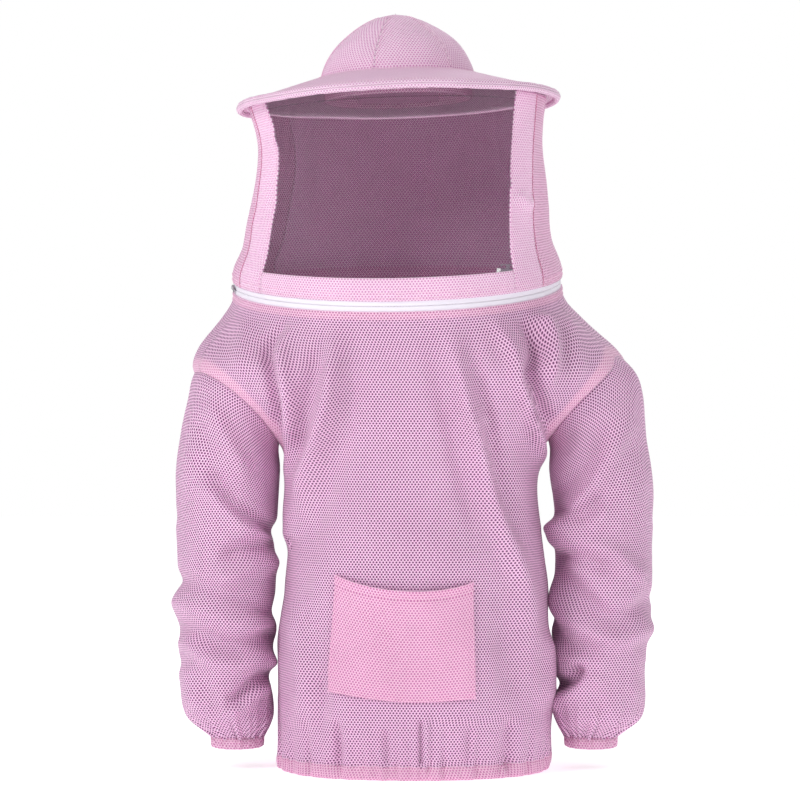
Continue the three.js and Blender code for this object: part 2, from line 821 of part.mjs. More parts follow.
function pullGeometry() {
  const knuckle = new THREE.CylinderGeometry(KNUCKLE_RADIUS, KNUCKLE_RADIUS, 2 * EAR_HALF_GAP - 0.6, 20)
    .rotateX(Math.PI / 2)
    .translate(0, PIN_Y, 0);
  const tab = plate(
    PULL_LENGTH - PULL_NECK,
    PULL_WIDTH,
    PIN_Y - PULL_WALL / 2,
    PIN_Y + PULL_WALL / 2,
  ).translate((PULL_LENGTH + PULL_NECK) / 2, 0, 0);
  const neck = box(PULL_NECK, PULL_WALL, PULL_WIDTH / 2, PULL_NECK / 2 + 1, PIN_Y, 0);
  const bore = new THREE.CylinderGeometry(PIN_RADIUS + GAP, PIN_RADIUS + GAP, 4 * EAR_HALF_GAP, 20)
    .rotateX(Math.PI / 2)
    .translate(0, PIN_Y, 0);
  const grip = new THREE.CylinderGeometry(GRIP_RADIUS, GRIP_RADIUS, 4 * PULL_WALL, 20)
    .translate(PULL_LENGTH + 1, PIN_Y, 0);
  return fromSolid(joined([knuckle, tab, neck]).subtract(toSolid(bore)).subtract(toSolid(grip)));
}

const sliderPlace = zipFrame(SLIDER_REST);
jacket.add(sliderPlace);
add(sliderPlace, "zip_slider", sliderGeometry(), zincMetal());
add(sliderPlace, "zip_pull", pullGeometry(), zincMetal());

// ---------------------------------------------------------------- hood

const HOOD_FOOT_Z = NECK_Z + ZIP_OPENING;
const WINDOW_FOOT_Z = HOOD_FOOT_Z + WINDOW_BAND_HEIGHT;
const WINDOW_TOP_Z = HOOD_TOP_Z - HEADER_HEIGHT;
const hoodTurn = radians(HOOD_TURN);
const seamInset = GAP / 2 / VEIL_RADIUS;

function windowEdge(height) {
  const s = (height - HOOD_FOOT_Z) / (HOOD_TOP_Z - HOOD_FOOT_Z);
  return radians(lerp(WINDOW_HALF_ANGLE_FOOT, WINDOW_HALF_ANGLE_TOP, s));
}

function stripEdge(height) {
  return windowEdge(height) + WINDOW_STRIP_WIDTH / VEIL_RADIUS;
}

// Every piece of the hood has its rows at these heights, so neighbours meet edge to edge.
const HOOD_LEVELS = [
  HOOD_FOOT_Z,
  NECK_Z + NECK_BAND,
  WINDOW_FOOT_Z,
  ...evenly(WINDOW_FOOT_Z, WINDOW_TOP_Z, 6).slice(1),
  HOOD_TOP_Z,
];

// A piece of the hood between two seams, each an angle from the window's middle.
function hoodPiece(inner, outer, low, high, steps, thickness = FABRIC) {
  const from = (height) => hoodTurn + inner(height) + seamInset;
  const to = (height) => hoodTurn + outer(height) - seamInset;
  const between = HOOD_LEVELS.filter((height) => height > low && height < high);
  return shell(hoodSurface, wallAt(0, -thickness, [low, ...between, high]), steps, from, to);
}

const backSeam = () => radians(BACK_SEAM_ANGLE);
const leftOf = (edge) => edge;
const rightOf = (edge) => (height) => -edge(height);
add(
  jacket,
  "veil_window",
  hoodPiece(
    rightOf(windowEdge),
    leftOf(windowEdge),
    WINDOW_FOOT_Z + GAP,
    WINDOW_TOP_Z - GAP,
    20,
    NET,
  ),
  blackNet(),
);
add(
  jacket,
  "veil_header",
  hoodPiece(rightOf(windowEdge), leftOf(windowEdge), WINDOW_TOP_Z, HOOD_TOP_Z, 20),
  blackNet(),
);
add(
  jacket,
  "window_band_lower",
  hoodPiece(rightOf(windowEdge), leftOf(windowEdge), HOOD_FOOT_Z, WINDOW_FOOT_Z, 20),
  doublePink(),
);
add(
  jacket,
  "window_strip_left",
  hoodPiece(leftOf(windowEdge), leftOf(stripEdge), HOOD_FOOT_Z, HOOD_TOP_Z, 4),
  doublePink(),
);
add(
  jacket,
  "window_strip_right",
  hoodPiece(rightOf(stripEdge), rightOf(windowEdge), HOOD_FOOT_Z, HOOD_TOP_Z, 4),
  doublePink(),
);
add(
  jacket,
  "hood_side_left",
  hoodPiece(leftOf(stripEdge), leftOf(backSeam), HOOD_FOOT_Z, HOOD_TOP_Z, 10),
  fabricPink(),
);
add(
  jacket,
  "hood_side_right",
  hoodPiece(rightOf(backSeam), rightOf(stripEdge), HOOD_FOOT_Z, HOOD_TOP_Z, 10),
  fabricPink(),
);
add(
  jacket,
  "hood_back_panel",
  hoodPiece(
    backSeam,
    () => 2 * Math.PI - backSeam(),
    HOOD_FOOT_Z,
    HOOD_TOP_Z,
    18,
  ),
  fabricPink(),
);

// ---------------------------------------------------------------- hat

const hat = new THREE.Group();
hat.position.set(NECK_X, 0, CROWN_BASE_Z);
hat.rotation.y = -radians(HAT_ROLL);
jacket.add(hat);

// The crown's surface round the hat's own axis: height runs from 0 at the base to 1 at the top.
// It is kept just short of its pole, where a level section has no width.
const CROWN_POLE = 0.9995;

function crownSurface(angle, height) {
  const share = THREE.MathUtils.clamp(height, 0, CROWN_POLE);
  const radius = CROWN_RADIUS * (1 - share ** CROWN_POWER) ** (1 / CROWN_POWER);
  return new THREE.Vector3(radius * Math.sin(angle), -radius * Math.cos(angle), CROWN_HEIGHT * share);
}

// Each gore narrows to a few millimetres wide at the top of the crown.
const CROWN_TIP = 0.985;
const CROWN_ROWS = 7;

function goreGeometry(index) {
  const width = (2 * Math.PI) / GORES;
  const start = radians(GORE_SEAM_ANGLE) + index * width;
  const inset = (height) => GAP / 2 / (CROWN_RADIUS * Math.max(1 - height, 0.03));
  const profile = [];
  const rowHeight = (j) => CROWN_TIP * Math.sin((Math.PI / 2) * (j / CROWN_ROWS));
  for (let j = 0; j <= CROWN_ROWS; j += 1) profile.push([0, rowHeight(j)]);
  for (let j = CROWN_ROWS; j >= 0; j -= 1) profile.push([-FABRIC, rowHeight(j)]);
  return shell(
    crownSurface,
    profile,
    7,
    (height) => start + inset(height),
    (height) => start + width - inset(height),
  );
}

for (let i = 0; i < GORES; i += 1) {
  add(hat, `crown_gore_${i + 1}`, goreGeometry(i), fabricPink());
}

// The brim is two cones of fabric, with a sprung hoop bound into its edge.
const HOOP_CENTRE = BRIM_RADIUS - HOOP_RADIUS - GAP - BINDING_WALL * 2;
const BRIM_EDGE = HOOP_CENTRE - HOOP_RADIUS - GAP;

function brimLayer(top) {
  const inner = CROWN_RADIUS + GAP;
  const zAt = (radius) => -BRIM_SLOPE * (radius - CROWN_RADIUS) + top;
  const outline = [
    new THREE.Vector2(inner, zAt(inner) - BRIM_LAYER),
    new THREE.Vector2(BRIM_EDGE, zAt(BRIM_EDGE) - BRIM_LAYER),
    new THREE.Vector2(BRIM_EDGE, zAt(BRIM_EDGE)),
    new THREE.Vector2(inner, zAt(inner)),
    new THREE.Vector2(inner, zAt(inner) - BRIM_LAYER),
  ];
  return new THREE.LatheGeometry(outline, 48).rotateX(Math.PI / 2);
}

const UPPER_LAYER_TOP = 1;
const LOWER_LAYER_TOP = UPPER_LAYER_TOP - BRIM_LAYER - GAP;
add(hat, "brim_upper", brimLayer(UPPER_LAYER_TOP), doublePink());
add(hat, "brim_lower", brimLayer(LOWER_LAYER_TOP), doublePink());

const HOOP_Z = -BRIM_SLOPE * (HOOP_CENTRE - CROWN_RADIUS) + UPPER_LAYER_TOP - BRIM_LAYER - GAP / 2;
add(
  hat,
  "brim_hoop",
  new THREE.TorusGeometry(HOOP_CENTRE, HOOP_RADIUS, 6, 48).translate(0, 0, HOOP_Z),
  springSteel(),
);

// The binding's section is an open ring that wraps the hoop and takes in the brim's edge.
function bindingGeometry() {
  const inner = BRIM_LAYER + GAP * 2 + BRIM_SLOPE * BRIM_LAYER * 2;
  const outer = inner + BINDING_WALL;
  const mouth = radians(128);
  const turns = 6;
  const outline = [];
  const at = (radius, angle) => new THREE.Vector2(
    HOOP_CENTRE + radius * Math.cos(angle) * 0.8,
    HOOP_Z + radius * Math.sin(angle),
  );
  for (let i = 0; i <= turns; i += 1) outline.push(at(outer, lerp(-mouth, mouth, i / turns)));
  for (let i = turns; i >= 0; i -= 1) outline.push(at(inner, lerp(-mouth, mouth, i / turns)));
  outline.push(outline[0].clone());
  return new THREE.LatheGeometry(outline, 48).rotateX(Math.PI / 2);
}

add(hat, "brim_binding", bindingGeometry(), doublePink());

// The sweatband hangs inside the crown, with a short elastic at its back.
const SWEATBAND_INSET = 6;
const SWEATBAND_ELASTIC_HALF_ANGLE = radians(35);
const SWEATBAND_STEPS = 36;
const bandOuter = CROWN_RADIUS - FABRIC - GAP * 2;
// The band is a ring of flats, and the elastic stays clear of the middle of each flat.
const elasticOuter = (bandOuter - SWEATBAND_WALL) * Math.cos(Math.PI / SWEATBAND_STEPS) - GAP;
const bandSurface = (radius) => (angle, height) => new THREE.Vector3(
  radius * Math.sin(angle),
  -radius * Math.cos(angle),
  height,
);
add(
  hat,
  "sweatband",
  shell(bandSurface(bandOuter), wall(0, -SWEATBAND_WALL, -SWEATBAND_HEIGHT, -1, 1), SWEATBAND_STEPS),
  doublePink(),
);
add(
  hat,
  "sweatband_elastic",
  shell(
    bandSurface(elasticOuter),
    wall(0, -ELASTIC_WALL, SWEATBAND_INSET - SWEATBAND_HEIGHT, -SWEATBAND_INSET, 1),
    16,
    Math.PI - SWEATBAND_ELASTIC_HALF_ANGLE,
    Math.PI + SWEATBAND_ELASTIC_HALF_ANGLE,
  ),
  elasticWhite(),
);

export default jacket;
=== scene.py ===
# %% [markdown]
# # A beekeeping jacket with a zipped-on veil
# The jacket is loose cloth all over: a knitted spacer mesh with rows of small holes, sewn into a
# body, two sleeves, a hood and a brimmed hat. The imported CAD model says where each piece sits.
# Here every cloth piece is made again as a sheet with folds, gathers and stitching. Most pieces ride on
# the same body as the solid that they stand for; the sleeves and the hood's tube, with its zip tape and
# stitches, are left on no body.

# %% The frame
import math

import bpy
import numpy as np
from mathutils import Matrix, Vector


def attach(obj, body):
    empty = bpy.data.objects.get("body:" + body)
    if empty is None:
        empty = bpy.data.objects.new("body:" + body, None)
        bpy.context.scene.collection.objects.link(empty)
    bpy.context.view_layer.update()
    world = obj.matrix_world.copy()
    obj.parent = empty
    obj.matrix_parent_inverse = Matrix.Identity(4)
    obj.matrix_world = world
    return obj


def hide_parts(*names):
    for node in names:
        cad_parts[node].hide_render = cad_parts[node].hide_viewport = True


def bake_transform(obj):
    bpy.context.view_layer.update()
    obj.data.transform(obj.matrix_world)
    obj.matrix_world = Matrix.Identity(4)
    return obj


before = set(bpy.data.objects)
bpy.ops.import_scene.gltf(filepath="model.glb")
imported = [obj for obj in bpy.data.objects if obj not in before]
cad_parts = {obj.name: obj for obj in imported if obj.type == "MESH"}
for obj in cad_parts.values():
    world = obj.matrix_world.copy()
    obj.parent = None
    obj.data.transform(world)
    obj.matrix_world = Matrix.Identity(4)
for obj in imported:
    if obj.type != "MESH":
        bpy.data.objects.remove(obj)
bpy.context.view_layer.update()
MM = 0.001

# %% [markdown]
# ## Camera, light and floor
# A garment is shown best in a white sweep with large soft lights, because hard light turns each hole
# of the mesh into a speck. The camera stands level, a little over three metres in front, and looks
# through a long lens, so the brim and the hem keep their true widths.

# %% Camera
EYE = Vector((-0.017, -3.28, 0.439))
VIEW_WIDTH = 0.960
SENSOR = 36.0
camera = bpy.data.objects.new("camera", bpy.data.cameras.new("camera"))
camera.data.sensor_width = SENSOR
camera.data.lens = SENSOR * -EYE.y / VIEW_WIDTH
camera.location = EYE
LEVEL = math.radians(90)
camera.rotation_euler = (LEVEL, 0, 0)
bpy.context.scene.collection.objects.link(camera)
bpy.context.scene.camera = camera
bpy.context.scene.view_settings.view_transform = "Standard"
print("lens", round(camera.data.lens, 1), "mm")


# %% [markdown]
# ### Three soft lights
# Large area lamps stand in for studio soft boxes; small lamps or a sun would give hard edges.
# The key stands high on the wearer's right and shapes the folds, a weaker fill opens the shadows on
# the other side, and a lamp behind lifts the outline of the brim and the shoulders.

# %% Lights
def soft_light(name, place, target, size, power, colour=(1, 1, 1)):
    lamp = bpy.data.lights.new(name, "AREA")
    lamp.shape = "RECTANGLE"
    lamp.size, lamp.size_y = size
    lamp.energy = power
    lamp.color = colour
    made = bpy.data.objects.new(name, lamp)
    made.location = place
    aim = Vector(target) - Vector(place)
    made.rotation_euler = aim.to_track_quat("-Z", "Y").to_euler()
    bpy.context.scene.collection.objects.link(made)


CHEST = (0, 0, 0.5)
COLLAR = (0, 0, 0.66)
soft_light("key_light", (-2.1, -2.0, 2.1), COLLAR, (1.0, 1.2), 46)
soft_light("fill_light", (2.0, -2.1, 1.0), CHEST, (1.2, 1.8), 14)
soft_light("back_light", (0.9, 1.9, 1.9), CHEST, (1.6, 1.2), 12)
print("lights", len(bpy.data.lights))


# %% [markdown]
# ## Materials
# One function adds a node with its settings and links, and another turns a hex colour to linear
# light. Everything that follows the cloth reads the piece's own UV map, laid out in metres along the
# weave, so that a hole is the same size on every piece.

# %% Node and colour helpers
def add_node(tree, kind, settings=(), inputs=()):
    made = tree.nodes.new(kind)
    for key, value in dict(settings).items():
        setattr(made, key, value)
    for key, value in dict(inputs).items():
        if isinstance(value, bpy.types.NodeSocket):
            tree.links.new(value, made.inputs[key])
        else:
            made.inputs[key].default_value = value
    return made


def linear(code):
    parts = [int(code[i : i + 2], 16) / 255 for i in (0, 2, 4)]
    return (*[c / 12.92 if c < 0.04045 else ((c + 0.055) / 1.055) ** 2.4 for c in parts], 1)


def new_material(name, **settings):
    made = bpy.data.materials.new(name)
    made.use_nodes = True
    tree = made.node_tree
    shader = tree.nodes["Principled BSDF"]
    for key, value in settings.items():
        shader.inputs[key.replace("_", " ")].default_value = value
    return made, tree, shader


# %% [markdown]
# ### White floor and backdrop
# A studio sweep is matt white paper. A plane under the hem catches a faint shadow, and it gives off a
# little light of its own, so that it stays as pale as the backdrop. The world shows pure white to
# the camera and lights the jacket about half as much, which keeps the pink from washing out.

# %% Floor and world
FLOOR_SIZE = 14.0
FLOOR_DROP = 0.5 * MM
BACKDROP_SEEN = 1.0
BACKDROP_LIGHT = 0.48
floor_finish, _, floor_shader = new_material("matt_white_sweep", Roughness=0.9)
floor_shader.inputs["Base Color"].default_value = linear("FAFAFA")
floor_shader.inputs["Emission Color"].default_value = (1, 1, 1, 1)
floor_shader.inputs["Emission Strength"].default_value = 0.55
bpy.ops.mesh.primitive_plane_add(size=FLOOR_SIZE, location=(0, 0, -FLOOR_DROP))
floor = bpy.context.object
floor.name = "studio_floor"
floor.data.materials.append(floor_finish)
world = bpy.data.worlds.new("white_studio")
world.use_nodes = True
backdrop = world.node_tree.nodes["Background"]
backdrop.inputs["Color"].default_value = (1, 1, 1, 1)
seen = add_node(world.node_tree, "ShaderNodeLightPath").outputs["Is Camera Ray"]
limits = {"Value": seen, "To Min": BACKDROP_LIGHT, "To Max": BACKDROP_SEEN}
strength = add_node(world.node_tree, "ShaderNodeMapRange", {}, limits)
world.node_tree.links.new(strength.outputs["Result"], backdrop.inputs["Strength"])
bpy.context.scene.world = world
print("backdrop lights the jacket at", BACKDROP_LIGHT)

# %% [markdown]
# ### Knitted spacer mesh
# Two knitted faces are held apart by springy filaments. The front face has staggered rows of round
# holes, 3.8 mm apart along a row, with 2.8 mm between rows. Seen straight on, the holes are plum dots
# between pale lilac yarn; the plum is painted shade, for the pink inner face in shadow at the bottom of
# each hole. A single layer shows dark holes; where the cloth is doubled, a second pink layer fills them
# in, so their painted shade is lighter. The attribute "layers" says which, from 0 for one layer to 1
# for two.

# %% Spacer mesh material
HOLE_PITCH = 3.8
ROW_PITCH = 2.8
HOLE_RADIUS = 1.12
HOLE_EDGE = 0.45


def hole_mask(tree, uv):
    """1 in the middle of a hole and 0 on the yarn, for staggered rows."""
    cell = (HOLE_PITCH, 2 * ROW_PITCH, 1)
    per_cell = tuple(1 / (size * MM) for size in cell)
    scaled = add_node(tree, "ShaderNodeVectorMath", {"operation": "MULTIPLY"}, {0: uv, 1: per_cell})
    distances = []
    for shift in ((0, 0, 0), (0.5, 0.5, 0)):
        moved = add_node(
            tree, "ShaderNodeVectorMath", {"operation": "ADD"}, {0: scaled.outputs[0], 1: shift}
        )
        part = add_node(tree, "ShaderNodeVectorMath", {"operation": "FRACTION"}, {0: moved.outputs[0]})
        centred = add_node(
            tree, "ShaderNodeVectorMath", {"operation": "SUBTRACT"}, {0: part.outputs[0], 1: (0.5, 0.5, 0)}
        )
        flat = (*cell[:2], 0)
        sized = add_node(
            tree, "ShaderNodeVectorMath", {"operation": "MULTIPLY"}, {0: centred.outputs[0], 1: flat}
        )
        length = add_node(tree, "ShaderNodeVectorMath", {"operation": "LENGTH"}, {0: sized.outputs[0]})
        distances.append(length.outputs["Value"])
    nearest = add_node(
        tree, "ShaderNodeMath", {"operation": "MINIMUM"}, {0: distances[0], 1: distances[1]}
    )
    fade = {"interpolation_type": "SMOOTHSTEP"}
    limits = {
        "Value": nearest.outputs[0],
        "From Min": HOLE_RADIUS - HOLE_EDGE,
        "From Max": HOLE_RADIUS + HOLE_EDGE,
        "To Min": 1.0,
        "To Max": 0.0,
    }
    return add_node(tree, "ShaderNodeMapRange", fade, limits).outputs["Result"]


def spacer_mesh(name, yarn, hole_shade, doubled_yarn, doubled_hole_shade):
    made, tree, shader = new_material(
        name, Roughness=0.62, Sheen_Weight=0.25, Sheen_Roughness=0.35, IOR=1.5
    )
    shader.inputs["Sheen Tint"].default_value = linear("FFE3F4")
    shader.inputs["Specular IOR Level"].default_value = 0.3
    shader.inputs["Subsurface Weight"].default_value = 0.35
    shader.inputs["Subsurface Radius"].default_value = (1.0, 0.7, 0.9)
    shader.inputs["Subsurface Scale"].default_value = 6 * MM
    uv = add_node(tree, "ShaderNodeUVMap", {"uv_map": "weave"}).outputs["UV"]
    mask = hole_mask(tree, uv)
    layers = add_node(tree, "ShaderNodeAttribute", {"attribute_name": "layers"}).outputs["Fac"]
    # the hole colours are painted shade: the pink inner face in shadow at the bottom of each hole, paler
    # where a second layer lies close behind
    colours = []
    for one, two in ((yarn, doubled_yarn), (hole_shade, doubled_hole_shade)):
        pair = add_node(
            tree, "ShaderNodeMix", {"data_type": "RGBA"}, {0: layers, 6: linear(one), 7: linear(two)}
        )
        colours.append(pair.outputs[2])
    coloured = add_node(tree, "ShaderNodeMix", {"data_type": "RGBA"}, {0: mask, 6: colours[0], 7: colours[1]})
    place = add_node(tree, "ShaderNodeTexCoord").outputs["Object"]
    blotch = add_node(
        tree, "ShaderNodeTexNoise", {}, {"Vector": place, "Scale": 9.0, "Detail": 3.0, "Roughness": 0.6}
    )
    shade = add_node(
        tree,
        "ShaderNodeMapRange",
        {},
        {"Value": blotch.outputs["Fac"], "From Min": 0.3, "From Max": 0.7, "To Min": 0.93, "To Max": 1.04},
    )
    varied = add_node(
        tree,
        "ShaderNodeVectorMath",
        {"operation": "SCALE"},
        {0: coloured.outputs[2], "Scale": shade.outputs["Result"]},
    )
    tree.links.new(varied.outputs[0], shader.inputs["Base Color"])
    height = add_node(tree, "ShaderNodeMath", {"operation": "SUBTRACT"}, {0: 1.0, 1: mask})
    bump = add_node(
        tree,
        "ShaderNodeBump",
        {},
        {"Strength": 0.55, "Distance": 0.9 * MM, "Height": height.outputs[0]},
    )
    tree.links.new(bump.outputs["Normal"], shader.inputs["Normal"])
    return made


# the second and fourth colours of each mesh are the painted shade in its holes
MESH_CLOTH = spacer_mesh("polyester_spacer_mesh", "F6C8E8", "6A2560", "F8CBE3", "CF85AE")
MESH_DOUBLE = spacer_mesh("doubled_spacer_mesh", "F6C2DF", "C26FA2", "F6C2DF", "C26FA2")
MESH_PALE = spacer_mesh("lined_spacer_mesh", "FBD8EE", "D48FBF", "FBD8EE", "D48FBF")
print("holes", HOLE_PITCH, "mm apart in rows", ROW_PITCH, "mm apart")


# %% [markdown]
# ### Black net, white tape, elastic, thread and metal
# The veil is warp-knitted polyester net: black thread with open cells, so it is mostly gaps. Its cells
# are drawn 1.6 mm wide, which is as fine as a view of the whole jacket can show. The zip tape is a
# tight white herringbone with a soft shine.

# %% Net, tape, elastic
NET_PITCH = 1.6
TAPE_PITCH = 1.1
BRAID_PITCH = 2.0


def line_pattern(tree, vector, pitch, across=(1, 0, 0)):
    """A wave from 0 to 1 with one crest each pitch, along a direction of the weave."""
    along = add_node(tree, "ShaderNodeVectorMath", {"operation": "DOT_PRODUCT"}, {0: vector, 1: across})
    per_metre = 2 * math.pi / (pitch * MM)
    turns = add_node(
        tree, "ShaderNodeMath", {"operation": "MULTIPLY"}, {0: along.outputs["Value"], 1: per_metre}
    )
    sine = add_node(tree, "ShaderNodeMath", {"operation": "SINE"}, {0: turns.outputs[0]})
    halved = {0: sine.outputs[0], 1: 0.5, 2: 0.5}
    return add_node(tree, "ShaderNodeMath", {"operation": "MULTIPLY_ADD"}, halved).outputs[0]


def net_material():
    made, tree, shader = new_material("black_polyester_net", Roughness=0.75, IOR=1.5)
    # the thread is black, but it is drawn mid grey: painted light, which lifts the veil towards the lit hood
    # inside that shows through it
    shader.inputs["Base Color"].default_value = linear("686069")
    shader.inputs["Specular IOR Level"].default_value = 0.2
    uv = add_node(tree, "ShaderNodeUVMap", {"uv_map": "weave"}).outputs["UV"]
    one = line_pattern(tree, uv, NET_PITCH, (0.7, 0.7, 0))
    two = line_pattern(tree, uv, NET_PITCH, (0.7, -0.7, 0))
    most = add_node(tree, "ShaderNodeMath", {"operation": "MAXIMUM"}, {0: one, 1: two})
    cover = add_node(
        tree,
        "ShaderNodeMapRange",
        {"interpolation_type": "SMOOTHSTEP"},
        {"Value": most.outputs[0], "From Min": 0.8, "From Max": 0.99, "To Min": 0.02, "To Max": 0.44},
    )
    tree.links.new(cover.outputs["Result"], shader.inputs["Alpha"])
    return made


def woven_tape(name, colour, pitch):
    made, tree, shader = new_material(name, Roughness=0.5, Sheen_Weight=0.2, IOR=1.5)
    uv = add_node(tree, "ShaderNodeUVMap", {"uv_map": "weave"}).outputs["UV"]
    warp = line_pattern(tree, uv, pitch, (0.8, 0.6, 0))
    weft = line_pattern(tree, uv, pitch, (0.8, -0.6, 0))
    both = add_node(tree, "ShaderNodeMath", {"operation": "MULTIPLY"}, {0: warp, 1: weft})
    # the lighter colour lies on the weave's crests and the darker in its low parts, where the bump is low:
    # painted highlight on the threads and painted shade between them
    tint = add_node(
        tree,
        "ShaderNodeMix",
        {"data_type": "RGBA"},
        {0: both.outputs[0], 6: linear(colour[0]), 7: linear(colour[1])},
    )
    tree.links.new(tint.outputs[2], shader.inputs["Base Color"])
    bump = add_node(
        tree, "ShaderNodeBump", {}, {"Strength": 0.4, "Distance": 0.3 * MM, "Height": both.outputs[0]}
    )
    tree.links.new(bump.outputs["Normal"], shader.inputs["Normal"])
    return made


BLACK_NET = net_material()
WHITE_TAPE = woven_tape("woven_polyester_tape", ("E4DFEC", "F8F6FB"), TAPE_PITCH)
DYED_ELASTIC = woven_tape("dyed_elastic_braid", ("D08FB8", "E6B0D2"), BRAID_PITCH)
WHITE_ELASTIC = woven_tape("braided_elastic", ("D8D2DA", "F0ECF2"), BRAID_PITCH)
print("net cells", NET_PITCH, "mm, tape weave", TAPE_PITCH, "mm")

# %% [markdown]
# ### Thread, nylon, zinc and steel
# Small parts would look like plastic toys with one flat colour, so a fine noise varies both colour and
# shine. Spun polyester thread is matt, moulded nylon has a soft gloss, and plated zinc and drawn steel
# are real metals, with their colour in the reflection.


# %% Thread, teeth and metal
def worn_finish(name, colour, roughness, metallic=0.0, grain=400.0):
    """A small part's finish: its colour and its shine both vary a little over it."""
    made, tree, shader = new_material(name, Metallic=metallic)
    place = add_node(tree, "ShaderNodeTexCoord").outputs["Object"]
    noise = add_node(tree, "ShaderNodeTexNoise", {}, {"Vector": place, "Scale": grain, "Detail": 4.0})
    tint = add_node(
        tree,
        "ShaderNodeMix",
        {"data_type": "RGBA"},
        {0: noise.outputs["Fac"], 6: linear(colour[0]), 7: linear(colour[1])},
    )
    tree.links.new(tint.outputs[2], shader.inputs["Base Color"])
    rough = add_node(
        tree,
        "ShaderNodeMapRange",
        {},
        {"Value": noise.outputs["Fac"], "To Min": roughness - 0.08, "To Max": roughness + 0.08},
    )
    tree.links.new(rough.outputs["Result"], shader.inputs["Roughness"])
    return made


PINK_THREAD = worn_finish("spun_polyester_thread", ("F3BFDB", "FBD9EC"), 0.6)
OVERLOCK_THREAD = worn_finish("textured_overlock_thread", ("D9709F", "E993BA"), 0.65)
NYLON_TEETH = worn_finish("moulded_nylon", ("EDEAF2", "F8F6FA"), 0.4)
ZINC_ALLOY = worn_finish("plated_zinc_alloy", ("A9A7AC", "C9C7CC"), 0.3, 1.0)
SPRING_WIRE = worn_finish("drawn_spring_steel", ("7F8287", "A3A6AA"), 0.32, 1.0)
print("materials", len(bpy.data.materials))

# %% [markdown]
# ## The jacket's surfaces
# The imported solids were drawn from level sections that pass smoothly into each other. The same
# sections are given here in millimetres, so that each sheet lies where its solid does. An angle runs
# round a section from the middle of the front (-Y) towards +X, which is the wearer's left.


# %% Smooth values between sections
def smooth_at(keys, field, at):
    """A cubic through neighbouring keys; a level key's value is flat, or has the slope that it gives."""
    places = np.array([key["at"] for key in keys], float)
    values = np.array([key.get(field, 0.0) for key in keys], float)
    last = len(keys) - 1
    slopes = np.zeros(len(keys))
    for k, key in enumerate(keys):
        if key.get("level"):
            slopes[k] = key.get("slopes", {}).get(field, 0.0)
        else:
            before, after = max(k - 1, 0), min(k + 1, last)
            slopes[k] = (values[after] - values[before]) / (places[after] - places[before])
    at = np.asarray(at, float)
    k = np.clip(np.searchsorted(places, at, side="left") - 1, 0, last - 1)
    span = places[k + 1] - places[k]
    s = (at - places[k]) / span
    start = (2 * s**3 - 3 * s**2 + 1) * values[k] + (s**3 - 2 * s**2 + s) * span * slopes[k]
    return start + (3 * s**2 - 2 * s**3) * values[k + 1] + (s**3 - s**2) * span * slopes[k + 1]


def ramp(value, low, high):
    """0 below low, 1 above high, and a soft step between."""
    t = np.clip((np.asarray(value, float) - low) / (high - low), 0, 1)
    return t * t * (3 - 2 * t)


def stacked_surface(keys):
    def surface(angle, height):
        angle, height = np.broadcast_arrays(np.asarray(angle, float), np.asarray(height, float))
        sine, cosine = np.sin(angle), np.cos(angle)
        depth = np.where(cosine > 0, smooth_at(keys, "front", height), smooth_at(keys, "back", height))
        power = smooth_at(keys, "power", height)
        reach = (np.abs(sine) ** power + np.abs(cosine) ** power) ** (-1 / power)
        x = smooth_at(keys, "half_width", height) * reach * sine
        y = smooth_at(keys, "y", height) - depth * reach * cosine
        z = height + smooth_at(keys, "rise", height) * y + smooth_at(keys, "lean", height) * x
        return np.stack([smooth_at(keys, "x", height) + x, y, z], -1)

    return surface


# %% [markdown]
# ### Body and hood
# The body is an upright tube that widens at the shoulders and narrows to the tilted neck ring, where
# the zip runs. The hood goes on from the same ring up to the brim. A few level sections with a smooth
# value between them are enough for both, and are easier to change than a sculpted mesh.

# %% Sections of the body and the hood
NECK_Z = 574.0
NECK_BAND = 12.0
NECK_RISE = 0.185
neck = dict(at=NECK_Z, level=True, x=-20, y=44, half_width=200, back=86, power=2, rise=NECK_RISE, lean=0.016)
neck["front"] = neck["half_width"] / math.hypot(1, NECK_RISE)
axis_share = 1 + NECK_RISE**2 + neck["lean"] ** 2
neck["slopes"] = {"x": -neck["lean"] / axis_share, "y": -NECK_RISE / axis_share}


def neck_at(distance):
    """The neck ring moved along its own axis, which keeps the zip's two tapes in line."""
    moved = {field: neck[field] + slope * distance for field, slope in neck["slopes"].items()}
    return dict(neck, at=NECK_Z + distance, **moved)


HEM_HEIGHT = 17.0
UNDERARM_Z = 380.0
SHOULDER_Z = 475.0
body_sections = [
    dict(at=0, half_width=162, front=132, back=122, power=2.2),
    dict(at=70, half_width=164, front=141, back=125, power=2.3),
    dict(at=220, half_width=158, front=141, back=125, power=2.3),
    dict(at=UNDERARM_Z, x=-2, half_width=156, front=141, back=121, power=2.2),
    dict(at=SHOULDER_Z, x=-5, y=4, half_width=260, front=151, back=115, power=2, rise=0.05),
    neck_at(-NECK_BAND),
    neck,
    neck_at(NECK_BAND),
]
BRIM_SLOPE = 0.295
CROWN_RADIUS = 92.0
VEIL_RADIUS = 178.0
CROWN_BASE_Z = 826.0
HOOD_TOP_Z = CROWN_BASE_Z - BRIM_SLOPE * (VEIL_RADIUS - CROWN_RADIUS) - 6.8


def hood_height(share):
    return NECK_Z + (HOOD_TOP_Z - NECK_Z) * share


